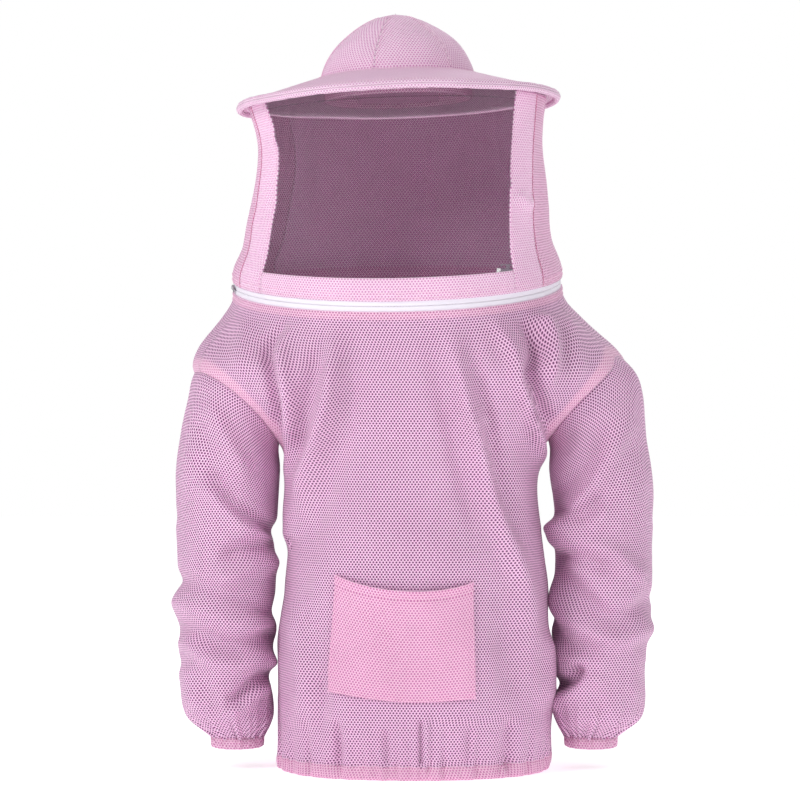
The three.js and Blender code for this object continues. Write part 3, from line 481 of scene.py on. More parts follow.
def hood_at(share, drawn_in, drawn_in_behind, shift):
    """A level section of the hood, drawn in from a straight run between the neck ring and the brim."""
    radius = (neck["half_width"] + (VEIL_RADIUS - neck["half_width"]) * share) * drawn_in
    back = (neck["back"] + (VEIL_RADIUS - neck["back"]) * share) * drawn_in_behind
    rise = NECK_RISE * (1 - share) ** 1.4
    lean = neck["lean"] + (math.tan(math.radians(2)) - neck["lean"]) * share
    place = dict(at=hood_height(share), x=neck["x"] + shift, y=neck["y"] * (1 - share))
    return dict(place, half_width=radius, front=radius, back=back, power=2, rise=rise, lean=lean)


hood_sections = [
    neck_at(-NECK_BAND),
    neck,
    neck_at(NECK_BAND),
    hood_at(0.24, 0.96, 0.93, 0),
    hood_at(0.52, 0.935, 0.955, 3),
    hood_at(0.78, 0.94, 1, 4),
    hood_at(1, 1, 1, 0),
]
body_surface = stacked_surface(body_sections)
hood_surface = stacked_surface(hood_sections)

# %% [markdown]
# ### Sleeves
# A sleeve is a tube too, but its sections tilt towards the shoulder. One list serves both sides,
# because the left sleeve is the right one mirrored.

# %% Sections of a sleeve
WRIST_Z = 38.0
sleeve_sections = [
    dict(at=WRIST_Z, x=212, z=38, across=31, depth=36),
    dict(at=64, x=220, z=64, across=51, depth=54),
    dict(at=110, x=223, z=110, across=54, depth=60),
    dict(at=200, x=226, z=200, across=59, depth=66),
    dict(at=300, x=225, z=300, across=59, depth=69),
    dict(at=370, x=221, z=368, tilt=16, across=62, depth=72),
    dict(at=435, x=211, z=432, tilt=41, across=66, depth=72),
    dict(at=490, x=174, z=471, tilt=44, across=58, depth=64),
]
SLEEVE_FORWARD = 5.0


def sleeve_surface(side):
    def surface(angle, length):
        angle, length = np.broadcast_arrays(np.asarray(angle, float), np.asarray(length, float))
        tilt = np.radians(smooth_at(sleeve_sections, "tilt", length))
        out = smooth_at(sleeve_sections, "across", length) * np.sin(side * angle)
        x = smooth_at(sleeve_sections, "x", length) + out * np.cos(tilt)
        z = smooth_at(sleeve_sections, "z", length) + out * np.sin(tilt)
        y = -SLEEVE_FORWARD - smooth_at(sleeve_sections, "depth", length) * np.cos(angle)
        return np.stack([side * x, y, z], -1)

    return surface


def outward(surface, angle, height):
    """The unit vector out of a surface at each place."""
    step_angle, step_height = 2e-3, 0.5
    along = surface(angle + step_angle, height) - surface(angle - step_angle, height)
    up = surface(angle, height + step_height) - surface(angle, height - step_height)
    out = np.cross(along, up)
    return out / np.maximum(np.linalg.norm(out, axis=-1, keepdims=True), 1e-9)


# %% [markdown]
# ## Folds
# Cloth that hangs from the shoulders falls in long ridges, and it buckles into short creases where a
# sleeve bends. A cloth simulation could make such folds, but it is slow to steer to a given place.
# So each large fold is drawn as a line on the jacket as a person three metres in front sees it, with
# how far it rises and how wide it is on each side. Small random unevenness is laid over them.


# %% Fold drawing
def seen_from_front(points):
    """Where points fall on the plane y = 0, seen from the place where the jacket is looked at."""
    eye = np.array(EYE) / MM
    scale = -eye[1] / (points[..., 1] - eye[1])
    across = eye[0] + (points[..., 0] - eye[0]) * scale
    up = eye[2] + (points[..., 2] - eye[2]) * scale
    return np.stack([across, up], -1)


def smooth_path(corners, count=36):
    """Evenly spread points on a smooth line through corners."""
    corners = np.array(corners, float)
    run = np.concatenate([[0], np.cumsum(np.linalg.norm(np.diff(corners, axis=0), axis=1))])
    at = np.linspace(0, run[-1], count)
    columns = []
    for k in range(corners.shape[1]):
        keys = [dict(at=a, value=v) for a, v in zip(run, corners[:, k])]
        columns.append(smooth_at(keys, "value", at))
    return np.stack(columns, -1)


def fold(path, rise, width, open_start=False, open_end=False):
    """A ridge, or a crease where rise is below 0. Width is (left of the path, right of it)."""
    if not hasattr(width, "__len__"):
        width = (width, width)
    return dict(path=smooth_path(path), rise=rise, width=width, ends=(open_start, open_end))


def faces_front(normals):
    """1 where cloth faces the front and 0 where it faces the back, with a soft change at the sides."""
    return ramp(-normals[..., 1], -0.35, 0.3)


def fold_height(spots, folds):
    """How far each spot on the front plane is pushed out by all the folds together."""
    flat = spots.reshape(-1, 2)
    total = np.zeros(len(flat))
    for one in folds:
        path, reach = one["path"], 3.2 * max(one["width"])
        low, high = path.min(0) - reach, path.max(0) + reach
        near = np.nonzero(((flat > low) & (flat < high)).all(1))[0]
        best = np.full(len(near), 1e9)
        signed = np.zeros(len(near))
        share = np.zeros(len(near))
        for k in range(len(path) - 1):
            start, step = path[k], path[k + 1] - path[k]
            away = flat[near] - start
            t = np.clip(away @ step / (step @ step), 0, 1)
            gap = away - t[:, None] * step
            distance = np.hypot(gap[:, 0], gap[:, 1])
            closer = distance < best
            best[closer] = distance[closer]
            side = step[0] * away[:, 1] - step[1] * away[:, 0]
            signed[closer] = side[closer]
            share[closer] = (k + t[closer]) / (len(path) - 1)
        width = np.where(signed > 0, one["width"][0], one["width"][1])
        fade = np.ones(len(near))
        if not one["ends"][0]:
            fade *= ramp(share, 0, 0.3)
        if not one["ends"][1]:
            fade *= ramp(1 - share, 0, 0.3)
        total[near] += one["rise"] * fade * np.exp(-((best / width) ** 2))
    return total.reshape(spots.shape[:-1])


# %% [markdown]
# ### Unevenness
# Drawn folds alone look combed. Smooth noise on a small lattice of fixed random values breaks them up,
# and the fixed seed gives the same jacket each time.

# %% Random unevenness
LATTICE = 16
random_lattice = np.random.default_rng(11).uniform(-1, 1, (LATTICE,) * 3)


def unevenness(points, size):
    """Smooth random values from -1 to 1 whose lumps are about size millimetres wide."""
    place = np.asarray(points, float) / size
    base = np.floor(place).astype(int)
    part = place - base
    part = part * part * (3 - 2 * part)
    total = np.zeros(place.shape[:-1])
    for corner in np.ndindex(2, 2, 2):
        index = (base + corner) % LATTICE
        weight = np.prod(np.where(corner, part, 1 - part), axis=-1)
        total += weight * random_lattice[index[..., 0], index[..., 1], index[..., 2]]
    return total


def slack(points, lumps):
    """Loose cloth's unevenness: the sum of (rise, size, shift) lumps."""
    return sum(rise * unevenness(points + shift, size) for rise, size, shift in lumps)


# %% [markdown]
# ## From a grid of points to a piece of cloth
# Each sheet is a grid of points on its outer face. The inner face is the same grid moved in by the
# cloth's thickness, and rims close the edges. The UV map is the flat pattern: distance along each row
# and up the middle, so the rows of holes run as they do on cut cloth.


# %% Grid helpers
def grid_normals(points, wraps):
    if wraps:
        ring = points[:, :-1]
        along = np.roll(ring, -1, 1) - np.roll(ring, 1, 1)
        along = np.concatenate([along, along[:, :1]], 1)
    else:
        along = np.gradient(points, axis=1)
    up = np.gradient(points, axis=0)
    out = np.cross(along, up)
    return out / np.maximum(np.linalg.norm(out, axis=-1, keepdims=True), 1e-9)


def flat_pattern(points):
    """The cut cloth's (across, up) place for each point of a grid, in millimetres."""
    step = np.linalg.norm(np.diff(points, axis=1), axis=-1)
    across = np.concatenate([np.zeros((len(points), 1)), np.cumsum(step, 1)], 1)
    middle = points.shape[1] // 2
    across -= across[:, middle : middle + 1]
    rise = np.linalg.norm(np.diff(points[:, middle], axis=0), axis=-1)
    up = np.concatenate([[0], np.cumsum(rise)])[:, None] + np.zeros_like(across)
    return np.stack([across, up], -1)


def pattern_size(pattern, keep=None):
    """(width, length, area) of a flat pattern in metres and square metres."""
    u, v = pattern[..., 0] * MM, pattern[..., 1] * MM
    wide = 0.5 * np.abs(np.diff(u[:-1], axis=1) + np.diff(u[1:], axis=1))
    cells = wide * np.abs(np.diff(v, axis=0)[:, :-1])
    area = cells.sum() if keep is None else cells[keep].sum()
    return float(np.ptp(u)), float(np.ptp(v)), float(area)


# %% [markdown]
# ### Cloth with a thickness
# A Solidify modifier could thicken a sheet, but here both faces are made at once, so that the rims get
# the same flat pattern as the faces and cells can be left out at the armholes.

# %% Mesh from a grid
def finish_mesh(name, vertices, faces, corner_uv, materials, layers=None):
    mesh = bpy.data.meshes.new(name)
    mesh.from_pydata(vertices * MM, [], faces)
    uv = mesh.uv_layers.new(name="weave")
    uv.data.foreach_set("uv", np.asarray(corner_uv * MM, np.float32).ravel())
    attribute = mesh.attributes.new("layers", "FLOAT", "POINT")
    if layers is not None:
        attribute.data.foreach_set("value", np.asarray(layers, np.float32).ravel())
    for finish in materials:
        mesh.materials.append(finish)
    mesh.shade_smooth()
    mesh.update()
    piece = bpy.data.objects.new(name, mesh)
    bpy.context.scene.collection.objects.link(piece)
    return piece


def cloth(name, points, pattern, thickness, finish, wraps=False, layers=None, keep=None):
    """A sheet with two faces and closed rims from a grid of points on its outer face.
    Keep says which of the grid's cells are cloth."""
    rows, columns = points.shape[:2]
    inner = points - grid_normals(points, wraps) * thickness
    count = columns - 1 if wraps else columns
    vertices = np.concatenate([points[:, :count].reshape(-1, 3), inner[:, :count].reshape(-1, 3)])
    if keep is None:
        keep = np.ones((rows - 1, columns - 1), bool)

    def add(corners):
        """One quad for each entry; a corner is (row, column, face)."""
        faces.append(np.stack([f * rows * count + r * count + c % count for r, c, f in corners], -1))
        spots.append(np.stack([pattern[r, c] for r, c, f in corners], 1))

    faces, spots = [], []
    r, c = np.nonzero(keep)
    add([(r, c, 0), (r, c + 1, 0), (r + 1, c + 1, 0), (r + 1, c, 0)])
    add([(r + 1, c, 1), (r + 1, c + 1, 1), (r, c + 1, 1), (r, c, 1)])
    below = np.vstack([np.zeros((1, columns - 1), bool), keep[:-1]])
    above = np.vstack([keep[1:], np.zeros((1, columns - 1), bool)])
    before = np.roll(keep, 1, 1) if wraps else np.hstack([np.zeros((rows - 1, 1), bool), keep[:, :-1]])
    after = np.roll(keep, -1, 1) if wraps else np.hstack([keep[:, 1:], np.zeros((rows - 1, 1), bool)])
    r, c = np.nonzero(keep & ~below)
    add([(r, c + 1, 0), (r, c, 0), (r, c, 1), (r, c + 1, 1)])
    r, c = np.nonzero(keep & ~above)
    add([(r + 1, c, 0), (r + 1, c + 1, 0), (r + 1, c + 1, 1), (r + 1, c, 1)])
    r, c = np.nonzero(keep & ~before)
    add([(r, c, 0), (r + 1, c, 0), (r + 1, c, 1), (r, c, 1)])
    r, c = np.nonzero(keep & ~after)
    add([(r + 1, c + 1, 0), (r, c + 1, 0), (r, c + 1, 1), (r + 1, c + 1, 1)])
    faces, corner_uv = np.concatenate(faces), np.concatenate(spots).reshape(-1, 2)
    used, compact = np.unique(faces, return_inverse=True)
    both = None
    if layers is not None:
        both = np.tile(np.broadcast_to(layers, points.shape[:2])[:, :count].ravel(), 2)[used]
    faces = compact.reshape(-1, 4).tolist()
    return finish_mesh(name, vertices[used], faces, corner_uv, [finish], both)


def declare(piece, pattern, body, nodes, blend=None, keep=None):
    """Hides the solids that a finished sheet stands for and prints its cut size; the sheet rides on its
    body, unless a blend is given, when it is left on no body.
    """
    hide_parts(*nodes)
    if blend:
        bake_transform(piece)
    else:
        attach(piece, body)
    width, length, area = pattern_size(pattern, keep)
    cut = f"{width / MM:.0f} x {length / MM:.0f} mm"
    print(piece.name, "cut", cut, len(piece.data.polygons), "faces")


# %% [markdown]
# ## Where the sleeves meet the body
# The armhole is where a sleeve's tube runs into the body's surface. For each place round the sleeve the
# length at which it meets the body is found by halving, so the sleeve's top edge lies on the body.


# %% Armholes
ARMHOLE_LOWEST, ARMHOLE_HIGHEST = 330.0, 489.0
HALVINGS = 20


def inside_body(points):
    """Below 1 inside the body's surface and above 1 outside it."""
    height = points[..., 2].copy()
    for _ in range(6):
        rise = smooth_at(body_sections, "rise", height)
        lean = smooth_at(body_sections, "lean", height)
        x = points[..., 0] - smooth_at(body_sections, "x", height)
        height = points[..., 2] - rise * points[..., 1] - lean * x
    y = points[..., 1] - smooth_at(body_sections, "y", height)
    front = smooth_at(body_sections, "front", height)
    depth = np.where(y < 0, front, smooth_at(body_sections, "back", height))
    power = smooth_at(body_sections, "power", height)
    wide = smooth_at(body_sections, "half_width", height)
    return (np.abs(x / wide) ** power + np.abs(y / depth) ** power) ** (1 / power)


def armhole_lengths(side, angles):
    surface = sleeve_surface(side)
    steps = np.linspace(ARMHOLE_LOWEST, ARMHOLE_HIGHEST, 160)
    level = inside_body(surface(angles[None, :], steps[:, None]))
    first = np.argmax(level < 1, axis=0)
    first = np.where((level < 1).any(0), first, len(steps) - 1)
    low, high = steps[np.maximum(first - 1, 0)], steps[first]
    for _ in range(HALVINGS):
        middle = (low + high) / 2
        within = inside_body(surface(angles, middle)) < 1
        high = np.where(within, middle, high)
        low = np.where(within, low, middle)
    return (low + high) / 2


armhole_angles = np.linspace(-math.pi, math.pi, 181)
armholes = {}
SEAM_FLAT = (4, 34)
for side in (1, -1):
    lengths = armhole_lengths(side, armhole_angles)
    armholes[side] = sleeve_surface(side)(armhole_angles, lengths)
    print("armhole", side, "from", round(lengths.min()), "to", round(lengths.max()), "mm up the sleeve")


def armhole_distance(points):
    """How far each point is from the nearer armhole seam, in millimetres."""
    flat = points.reshape(-1, 3)
    best = np.full(len(flat), 1e9)
    for side in (1, -1):
        near = np.nonzero(side * flat[:, 0] > 90)[0]
        for k in range(0, len(armhole_angles) - 1, 2):
            away = np.linalg.norm(flat[near] - armholes[side][k], axis=1)
            best[near] = np.minimum(best[near], away)
    return best.reshape(points.shape[:-1])


def free_of_seam(points):
    """0 at an armhole seam, where the cloth is held, and 1 where it hangs free."""
    return ramp(armhole_distance(points), *SEAM_FLAT)


# %% [markdown]
# ## Body
# The front and back panels run from the elastic hem to the zip. They hang loose: long ridges run down
# from the zip on both sides of the chest, the cloth tucks under each arm, and the elastic gathers the
# last few centimetres. Each panel stops at the side seams, and faces that would lie inside a sleeve
# are left out.

# %% The body's folds
BODY_FOLDS = [
    # the tuck down the wearer's right side: a crease, with the front standing proud beside it
    fold(
        [(-138, 549), (-176, 503), (-172, 469), (-167, 439), (-166, 379), (-167, 289)],
        -8, (9, 6), False, True,
    ),
    fold(
        [(-122, 549), (-157, 505), (-154, 465), (-150, 425), (-150, 370), (-150, 280)],
        6, (8, 14), False, True,
    ),
    # the long ridge on the wearer's right of the chest
    fold(
        [(-92, 545), (-95, 515), (-98, 485), (-104, 445), (-113, 409), (-131, 335), (-149, 270)],
        9, (13, 11),
    ),
    fold([(-112, 520), (-122, 470), (-132, 410), (-146, 350)], -5, 14),
    fold([(-70, 540), (-72, 480), (-82, 420), (-100, 350), (-124, 270), (-140, 190)], -4, 15),
    # the long ridge on the wearer's left of the chest
    fold(
        [
            (40, 548), (49, 491), (58, 457), (70, 409), (82, 361),
            (94, 311), (109, 265), (130, 205), (150, 110),
        ],
        9, (14, 9),
    ),
    fold([(66, 540), (74, 480), (86, 430), (98, 370), (112, 311), (128, 250)], -6, (10, 14)),
    fold([(20, 530), (28, 470), (46, 400), (64, 330), (80, 250)], -4, (18, 12)),
    # the front's edge under the wearer's left arm
    fold(
        [(84, 556), (103, 521), (118, 491), (124, 463), (139, 427), (151, 385), (159, 341), (161, 289)],
        7, (12, 7), False, True,
    ),
    fold([(116, 552), (140, 523), (147, 499), (140, 472), (150, 440), (162, 405), (168, 370)], -10, (9, 8)),
    fold([(134, 556), (158, 526), (166, 499), (162, 465), (150, 446)], 7, (7, 11)),
    # pulls over the wearer's left shoulder
    fold([(176, 556), (190, 520), (196, 480), (192, 440)], 3, 12),
    fold([(-196, 545), (-206, 500), (-200, 460)], 3, 14),
    # low on the body
    fold([(-150, 210), (-138, 150), (-132, 90), (-140, 40)], 5, 13),
    fold([(-118, 120), (-112, 80), (-116, 30)], -4, 12),
    fold([(150, 170), (158, 120), (156, 60)], 5, (14, 9)),
    fold([(96, 190), (112, 130), (118, 70)], -4, 16),
    fold([(104, 230), (128, 180), (140, 120), (142, 60)], 4, 12),
]
BACK_FOLDS = [
    fold([(-120, 540), (-112, 440), (-128, 330), (-140, 230)], 7, 18),
    fold([(-70, 530), (-66, 430), (-84, 300)], -5, 20),
    fold([(110, 540), (104, 430), (122, 320), (136, 200)], 7, 18),
    fold([(62, 530), (60, 420), (78, 290)], -5, 20),
    fold([(-10, 520), (-16, 420), (-8, 300), (-14, 180)], 4, 26),
    fold([(-160, 180), (-146, 110), (-150, 40)], 5, 14),
    fold([(150, 190), (144, 110), (150, 40)], 5, 14),
]
HEM_PLEATS = [
    fold([(8, 62), (8, 36), (8, 4)], -5, (5, 3), False, True),
    fold([(15, 66), (14, 36), (14, 4)], 4, (4, 9), False, True),
    fold([(-36, 48), (-34, 24), (-35, 4)], -3, 5, False, True),
    fold([(67, 52), (66, 24), (67, 4)], -3, 5, False, True),
    fold([(-98, 60), (-92, 30), (-94, 4)], -4, 6, False, True),
    fold([(118, 60), (112, 30), (112, 4)], -4, 6, False, True),
]


# %% [markdown]
# ### The folded body
# The body's points are pushed out along their normals by folds, gathers and unevenness together. The
# push fades to nothing at the neck ring and at the armholes, because sewn edges lie where they are held.

# %% The body's outer face with its folds
GATHER_WAVES = ((0.285, 0.3, 1.0), (0.437, 1.7, 0.7), (0.173, 2.9, 0.9), (0.611, 0.9, 0.4))
FOLD_DEPTH = 1.9
BODY_SLACK = ((3.4, 95, 40), (1.9, 42, 0))
HEM_GATHER = 3.0
HEM_GATHER_REACH = 30.0
BODY_ROUND = 150.0
RING_TILT_STARTS, RING_TILT_ENDS = 500, 560
NECK_STILL, NECK_FADE = 8, 34


def gathers(run):
    """Uneven ripples along a gathered edge, about 15 to 30 mm apart."""
    return sum(size * np.sin(rate * run + start) for rate, start, size in GATHER_WAVES) / 2


def body_fold(points, normals):
    """How far the body's cloth stands out at each point."""
    front = faces_front(normals)
    spots = seen_from_front(points)
    total = FOLD_DEPTH * fold_height(spots, BODY_FOLDS + HEM_PLEATS) * front
    total += FOLD_DEPTH * fold_height(spots, BACK_FOLDS) * (1 - front)
    total += slack(points, BODY_SLACK)
    run = np.arctan2(points[..., 0], -points[..., 1]) * BODY_ROUND
    height = points[..., 2]
    total += HEM_GATHER * gathers(run) * np.exp(-np.maximum(height - HEM_HEIGHT, 0) / HEM_GATHER_REACH)
    ring_rise = NECK_RISE * points[..., 1] * ramp(height, RING_TILT_STARTS, RING_TILT_ENDS)
    below_zip = NECK_Z - NECK_STILL - (height - ring_rise)
    return total * ramp(below_zip, 0, NECK_FADE)


def body_cloth(angle, height, lift=0.0):
    """Points on the folded body, lift millimetres out of its cloth."""
    points = body_surface(angle, height)
    normals = outward(body_surface, angle, height)
    push = body_fold(points, normals) * free_of_seam(points)
    return points + normals * (push + lift)[..., None]


SIDE_SEAM, SEAM_FORWARD = 90, 17
FIRST_HIGH_SECTION = 3
SLICES, SLICE_HALF = 8, 8


def seam_angle(height):
    """The side seam's angle, which comes forward towards the shoulder."""
    return np.radians(SIDE_SEAM - SEAM_FORWARD * ramp(height, UNDERARM_Z, SHOULDER_Z))


def inside_sleeve(points, margin):
    """True where a point lies inside a sleeve's tube by more than a margin."""
    result = np.zeros(points.shape[:-1], bool)
    for side in (1, -1):
        axis = [np.array([side * key["x"], -SLEEVE_FORWARD, key["z"]]) for key in sleeve_sections]
        for k in range(FIRST_HIGH_SECTION, len(sleeve_sections) - 1):
            lower, upper = sleeve_sections[k], sleeve_sections[k + 1]
            for t in np.linspace(0, 1, SLICES):
                centre = axis[k] * (1 - t) + axis[k + 1] * t
                tilt = math.radians(lower.get("tilt", 0) * (1 - t) + upper.get("tilt", 0) * t)
                wide = lower["across"] * (1 - t) + upper["across"] * t - margin
                deep = lower["depth"] * (1 - t) + upper["depth"] * t - margin
                away = points - centre
                out = side * away[..., 0] * math.cos(tilt) + away[..., 2] * math.sin(tilt)
                lift = -side * away[..., 0] * math.sin(tilt) + away[..., 2] * math.cos(tilt)
                hit = (out / wide) ** 2 + (away[..., 1] / deep) ** 2 < 1
                result |= hit & (np.abs(lift) < SLICE_HALF)
    return result


# %% [markdown]
# ### Two panels
# The cut cloth meets in side seams under the arms. Each panel is a grid from seam to seam, and its
# cells inside a sleeve's tube are dropped, which leaves the armhole.

# %% Front and back panels
FABRIC = 2.6
BODY_FOOT_Z = HEM_HEIGHT - 2
BODY_TOP_Z = NECK_Z - 6.2
ARMHOLE_MARGIN = 7.0
ARMHOLE_ALLOWANCE = (13, 20)
ZIP_ALLOWANCE = (7, 11)


def body_panel(name, start, end, columns, rows):
    height = np.linspace(BODY_FOOT_Z, BODY_TOP_Z, rows)[:, None]
    share = np.linspace(0, 1, columns)[None, :]
    angle = start(height) * (1 - share) + end(height) * share
    points = body_cloth(angle, height)
    pattern = (flat_pattern(body_surface(angle, height)) + flat_pattern(points)) / 2
    # the seam allowance is a second layer beside each armhole and under the zip
    beside = armhole_distance(body_surface(angle, height))
    layers = 0.85 * (1 - ramp(beside, *ARMHOLE_ALLOWANCE))
    edge = 0.7 * (1 - ramp(BODY_TOP_Z - height, *ZIP_ALLOWANCE)) + 0 * angle
    middles = (points[:-1, :-1] + points[1:, :-1] + points[:-1, 1:] + points[1:, 1:]) / 4
    keep = ~inside_sleeve(middles, ARMHOLE_MARGIN)
    layers = np.maximum(layers, edge)
    piece = cloth(name, points, pattern, FABRIC, MESH_CLOTH, layers=layers, keep=keep)
    return piece, pattern, keep


fine = 1.0
body_grid = (int(171 * fine), int(201 * fine))
body_edges = {
    "front": (lambda h: -seam_angle(h), seam_angle),
    "back": (seam_angle, lambda h: 2 * math.pi - seam_angle(h)),
}
for half, (start, end) in body_edges.items():
    piece, pattern, keep = body_panel(f"{half}_body_cloth", start, end, *body_grid)
    declare(
        piece, pattern, "jacket", [f"{half}_panel"], keep=keep
    )

# %% [markdown]
# ## Hem
# The hem is the cloth turned up over a flat elastic, 17 mm high. It is a doubled band, so it is paler
# than the body, and it ripples with the gathers above it.


# %% Hem casing
hem_angle = np.linspace(-math.pi, math.pi, int(361 * fine))


def hem_row(offset, height):
    """One level row round the hem, offset millimetres out of the body's surface."""
    foot = body_surface(hem_angle, HEM_HEIGHT + 0 * hem_angle)
    normals = outward(body_surface, hem_angle, HEM_HEIGHT + 0 * hem_angle)
    normals[..., 2] = 0
    normals /= np.linalg.norm(normals, axis=-1, keepdims=True)
    foot[..., 2] = height
    push = body_fold(foot, normals) * ramp(height, -30, HEM_HEIGHT)
    row = foot + normals * (push + offset)[..., None]
    row[-1] = row[0]
    return row


HEM_PROFILE = [
    (-6.4, 15.5), (-6.6, 8), (-6.4, 2.2), (-4.5, 0.3), (-1.8, 0.3),
    (-0.2, 2.2), (0.5, 8), (0.4, 14), (-0.3, 17.2), (-1.6, 18.4),
]
hem_points = np.array([hem_row(offset, height) for offset, height in HEM_PROFILE])
hem_pattern = flat_pattern(hem_points)
hem_cloth = cloth("hem_band_cloth", hem_points, hem_pattern, 0.9, MESH_DOUBLE, wraps=True)
declare(hem_cloth, hem_pattern, "jacket", ["hem_casing"])

# %% [markdown]
# ## Sleeves
# A sleeve hangs straight down from its tilted armhole. Its cloth is much longer than the arm, so it
# stacks up in deep creases near the elbow and balloons over the elastic cuff. Its top edge meets the
# body at the armhole.

# %% The sleeves' folds
RIGHT_SLEEVE_FOLDS = [
    fold([(-254, 451), (-239, 421), (-221, 385), (-209, 361), (-198, 330)], 6, 10),
    fold([(-268, 428), (-252, 392), (-232, 350), (-206, 318)], -4, 10),
    fold([(-266, 380), (-239, 343), (-212, 311), (-185, 293), (-158, 280)], -9, (7, 8), False, True),
    fold([(-262, 352), (-236, 320), (-206, 290), (-176, 272)], 6, 10, False, True),
    fold([(-158, 268), (-200, 262), (-239, 247)], -9, (8, 10), True, False),
    fold([(-158, 245), (-190, 240), (-226, 226), (-250, 226)], 6, (12, 10), True, False),
    fold([(-290, 224), (-239, 212), (-206, 199), (-176, 183)], -6, (10, 9), True, True),
    fold([(-290, 198), (-250, 186), (-214, 172), (-178, 168)], 6, 12, True, True),
    fold([(-280, 165), (-239, 149), (-209, 145), (-176, 158)], -8, (9, 12), True, True),
    fold([(-272, 150), (-245, 128), (-212, 120), (-180, 128), (-170, 118)], 8, (11, 9), True, True),
    fold([(-170, 112), (-188, 101), (-209, 84), (-230, 72)], -10, (7, 7), True, False),
    fold([(-182, 92), (-206, 72), (-236, 60)], 7, 8, True, False),
    fold([(-276, 128), (-268, 96), (-256, 66)], 5, 12),
    fold([(-252, 112), (-246, 84), (-238, 56)], -4, 8),
]
LEFT_SLEEVE_FOLDS = [
    fold([(262, 425), (238, 379), (211, 331), (187, 301), (164, 284)], 8, (12, 9), False, True),
    fold([(238, 430), (214, 384), (190, 344), (168, 322)], -5, (10, 12), False, True),
    fold([(160, 309), (193, 303), (217, 320), (226, 340)], -7, (9, 8), True, False),
    fold([(160, 287), (190, 285), (214, 292), (244, 322)], 5, (8, 10), True, False),
    fold([(158, 268), (196, 272), (236, 258), (268, 232)], 6, (10, 12), True, True),
    fold([(160, 256), (190, 250), (222, 240), (246, 226)], -7, (9, 8), True, False),
    fold([(168, 246), (186, 219), (213, 192), (243, 177), (281, 196)], -9, (11, 13), True, True),
    fold([(160, 214), (176, 188), (206, 164), (240, 152), (276, 164)], 8, (13, 12), True, True),
    fold([(160, 176), (178, 150), (206, 140), (240, 142)], -5, (10, 9), True, False),
    fold([(164, 150), (184, 130), (214, 124), (246, 128)], 4, 10, True, False),
    fold([(168, 98), (186, 100), (194, 110), (188, 124)], -13, (9, 9), True, False),
    fold([(174, 76), (190, 92), (212, 104), (238, 98)], 7, 10, True, False),
    fold([(270, 150), (268, 110), (262, 70)], 4, 12),
    fold([(214, 92), (222, 70), (226, 50)], -3, 8),
]
SLEEVE_BACK_FOLDS = [
    fold([(250, 420), (222, 370), (190, 330)], 7, 12),
    fold([(280, 300), (240, 280), (196, 290), (166, 280)], -8, 10, True, True),
    fold([(280, 220), (236, 200), (196, 206), (166, 190)], -8, 11, True, True),
    fold([(280, 190), (240, 168), (200, 172), (166, 160)], 7, 12, True, True),
    fold([(276, 120), (240, 104), (200, 112), (176, 100)], -8, 10, True, True),
]


# %% [markdown]
# ### The folded sleeves
# The same three kinds of push shape a sleeve, and its place is baked into its mesh.

# %% Sleeve cloth
GATHER_ROUND = 150.0
SLEEVE_FOLD_DEPTH = 1.2
# a line for a bend, from square to the armhole to 12 cm down the sleeve; nothing here bends the sleeve along
# it
BEND_START = (0.215, -0.005, 0.425)
BEND_RUN = (0.067, 0, -0.100)


def sleeve_cloth(side, angle, length, lift=0.0):
    surface = sleeve_surface(side)
    points = surface(angle, length)
    normals = outward(surface, angle, length)
    spots = seen_from_front(points)
    front = faces_front(normals)
    own = LEFT_SLEEVE_FOLDS if side > 0 else RIGHT_SLEEVE_FOLDS
    push = fold_height(spots, own) * front
    mirrored = spots * np.array([side, 1])
    push += 0.6 * fold_height(mirrored, SLEEVE_BACK_FOLDS) * (1 - front)
    push = SLEEVE_FOLD_DEPTH * push + slack(points, ((3.6, 70, 90 * side), (1.6, 32, 0)))
    push *= ramp(length, WRIST_Z, WRIST_Z + 30)
    ripple = gathers(side * angle * GATHER_ROUND / 2 + 40)
    push += 2.8 * ripple * np.exp(-np.maximum(length - WRIST_Z - 8, 0) / 24)
    push *= free_of_seam(points)
    return points + normals * (push + lift)[..., None]


HANDS = ((1, "left"), (-1, "right"))


def sleeve_piece(side, hand):
    name = f"sleeve_{hand}"
    columns, rows = int(151 * fine), int(161 * fine)
    angle = np.linspace(-math.pi, math.pi, columns)
    top = np.interp(angle, armhole_angles, armhole_lengths(side, armhole_angles))
    share = np.linspace(0, 1, rows)[:, None]
    length = WRIST_Z - 1 + (top[None, :] - WRIST_Z + 1) * share
    points = sleeve_cloth(side, angle[None, :] + 0 * length, length)
    points[:, -1] = points[:, 0]
    plain = sleeve_surface(side)(angle[None, :] + 0 * length, length)
    pattern = (flat_pattern(plain) + flat_pattern(points)) / 2
    piece = cloth(f"{name}_cloth", points, pattern, FABRIC, MESH_CLOTH, wraps=True)
    start = Vector((side * BEND_START[0], *BEND_START[1:]))
    end = start + Vector((side * BEND_RUN[0], *BEND_RUN[1:]))
    bend = (("jacket", name), tuple(start), tuple(end))
    declare(piece, pattern, name, [name], blend=bend)


for side, hand in HANDS:
    sleeve_piece(side, hand)

# %% [markdown]
# ## Cuffs
# Each cuff is a narrow casing with an elastic inside. The sleeve is gathered onto it, so the casing
# itself is rippled all round.


# %% Cuff casings
def band_profile(low, high, wall):
    """A rounded band's (offset, height) rows, from the inside over the foot to the outside."""
    middle = (low + high) / 2
    return [
        (-wall, high), (-wall - 0.3, middle), (-wall, low + 2), (-wall * 0.6, low + 0.3),
        (-wall * 0.3, low + 0.3), (-0.3, low + 2), (0.3, middle), (-0.2, high),
    ]


CUFF_HEIGHT = 14.0
CUFF_WALL = 5.4
cuff_angle = np.linspace(-math.pi, math.pi, int(161 * fine))


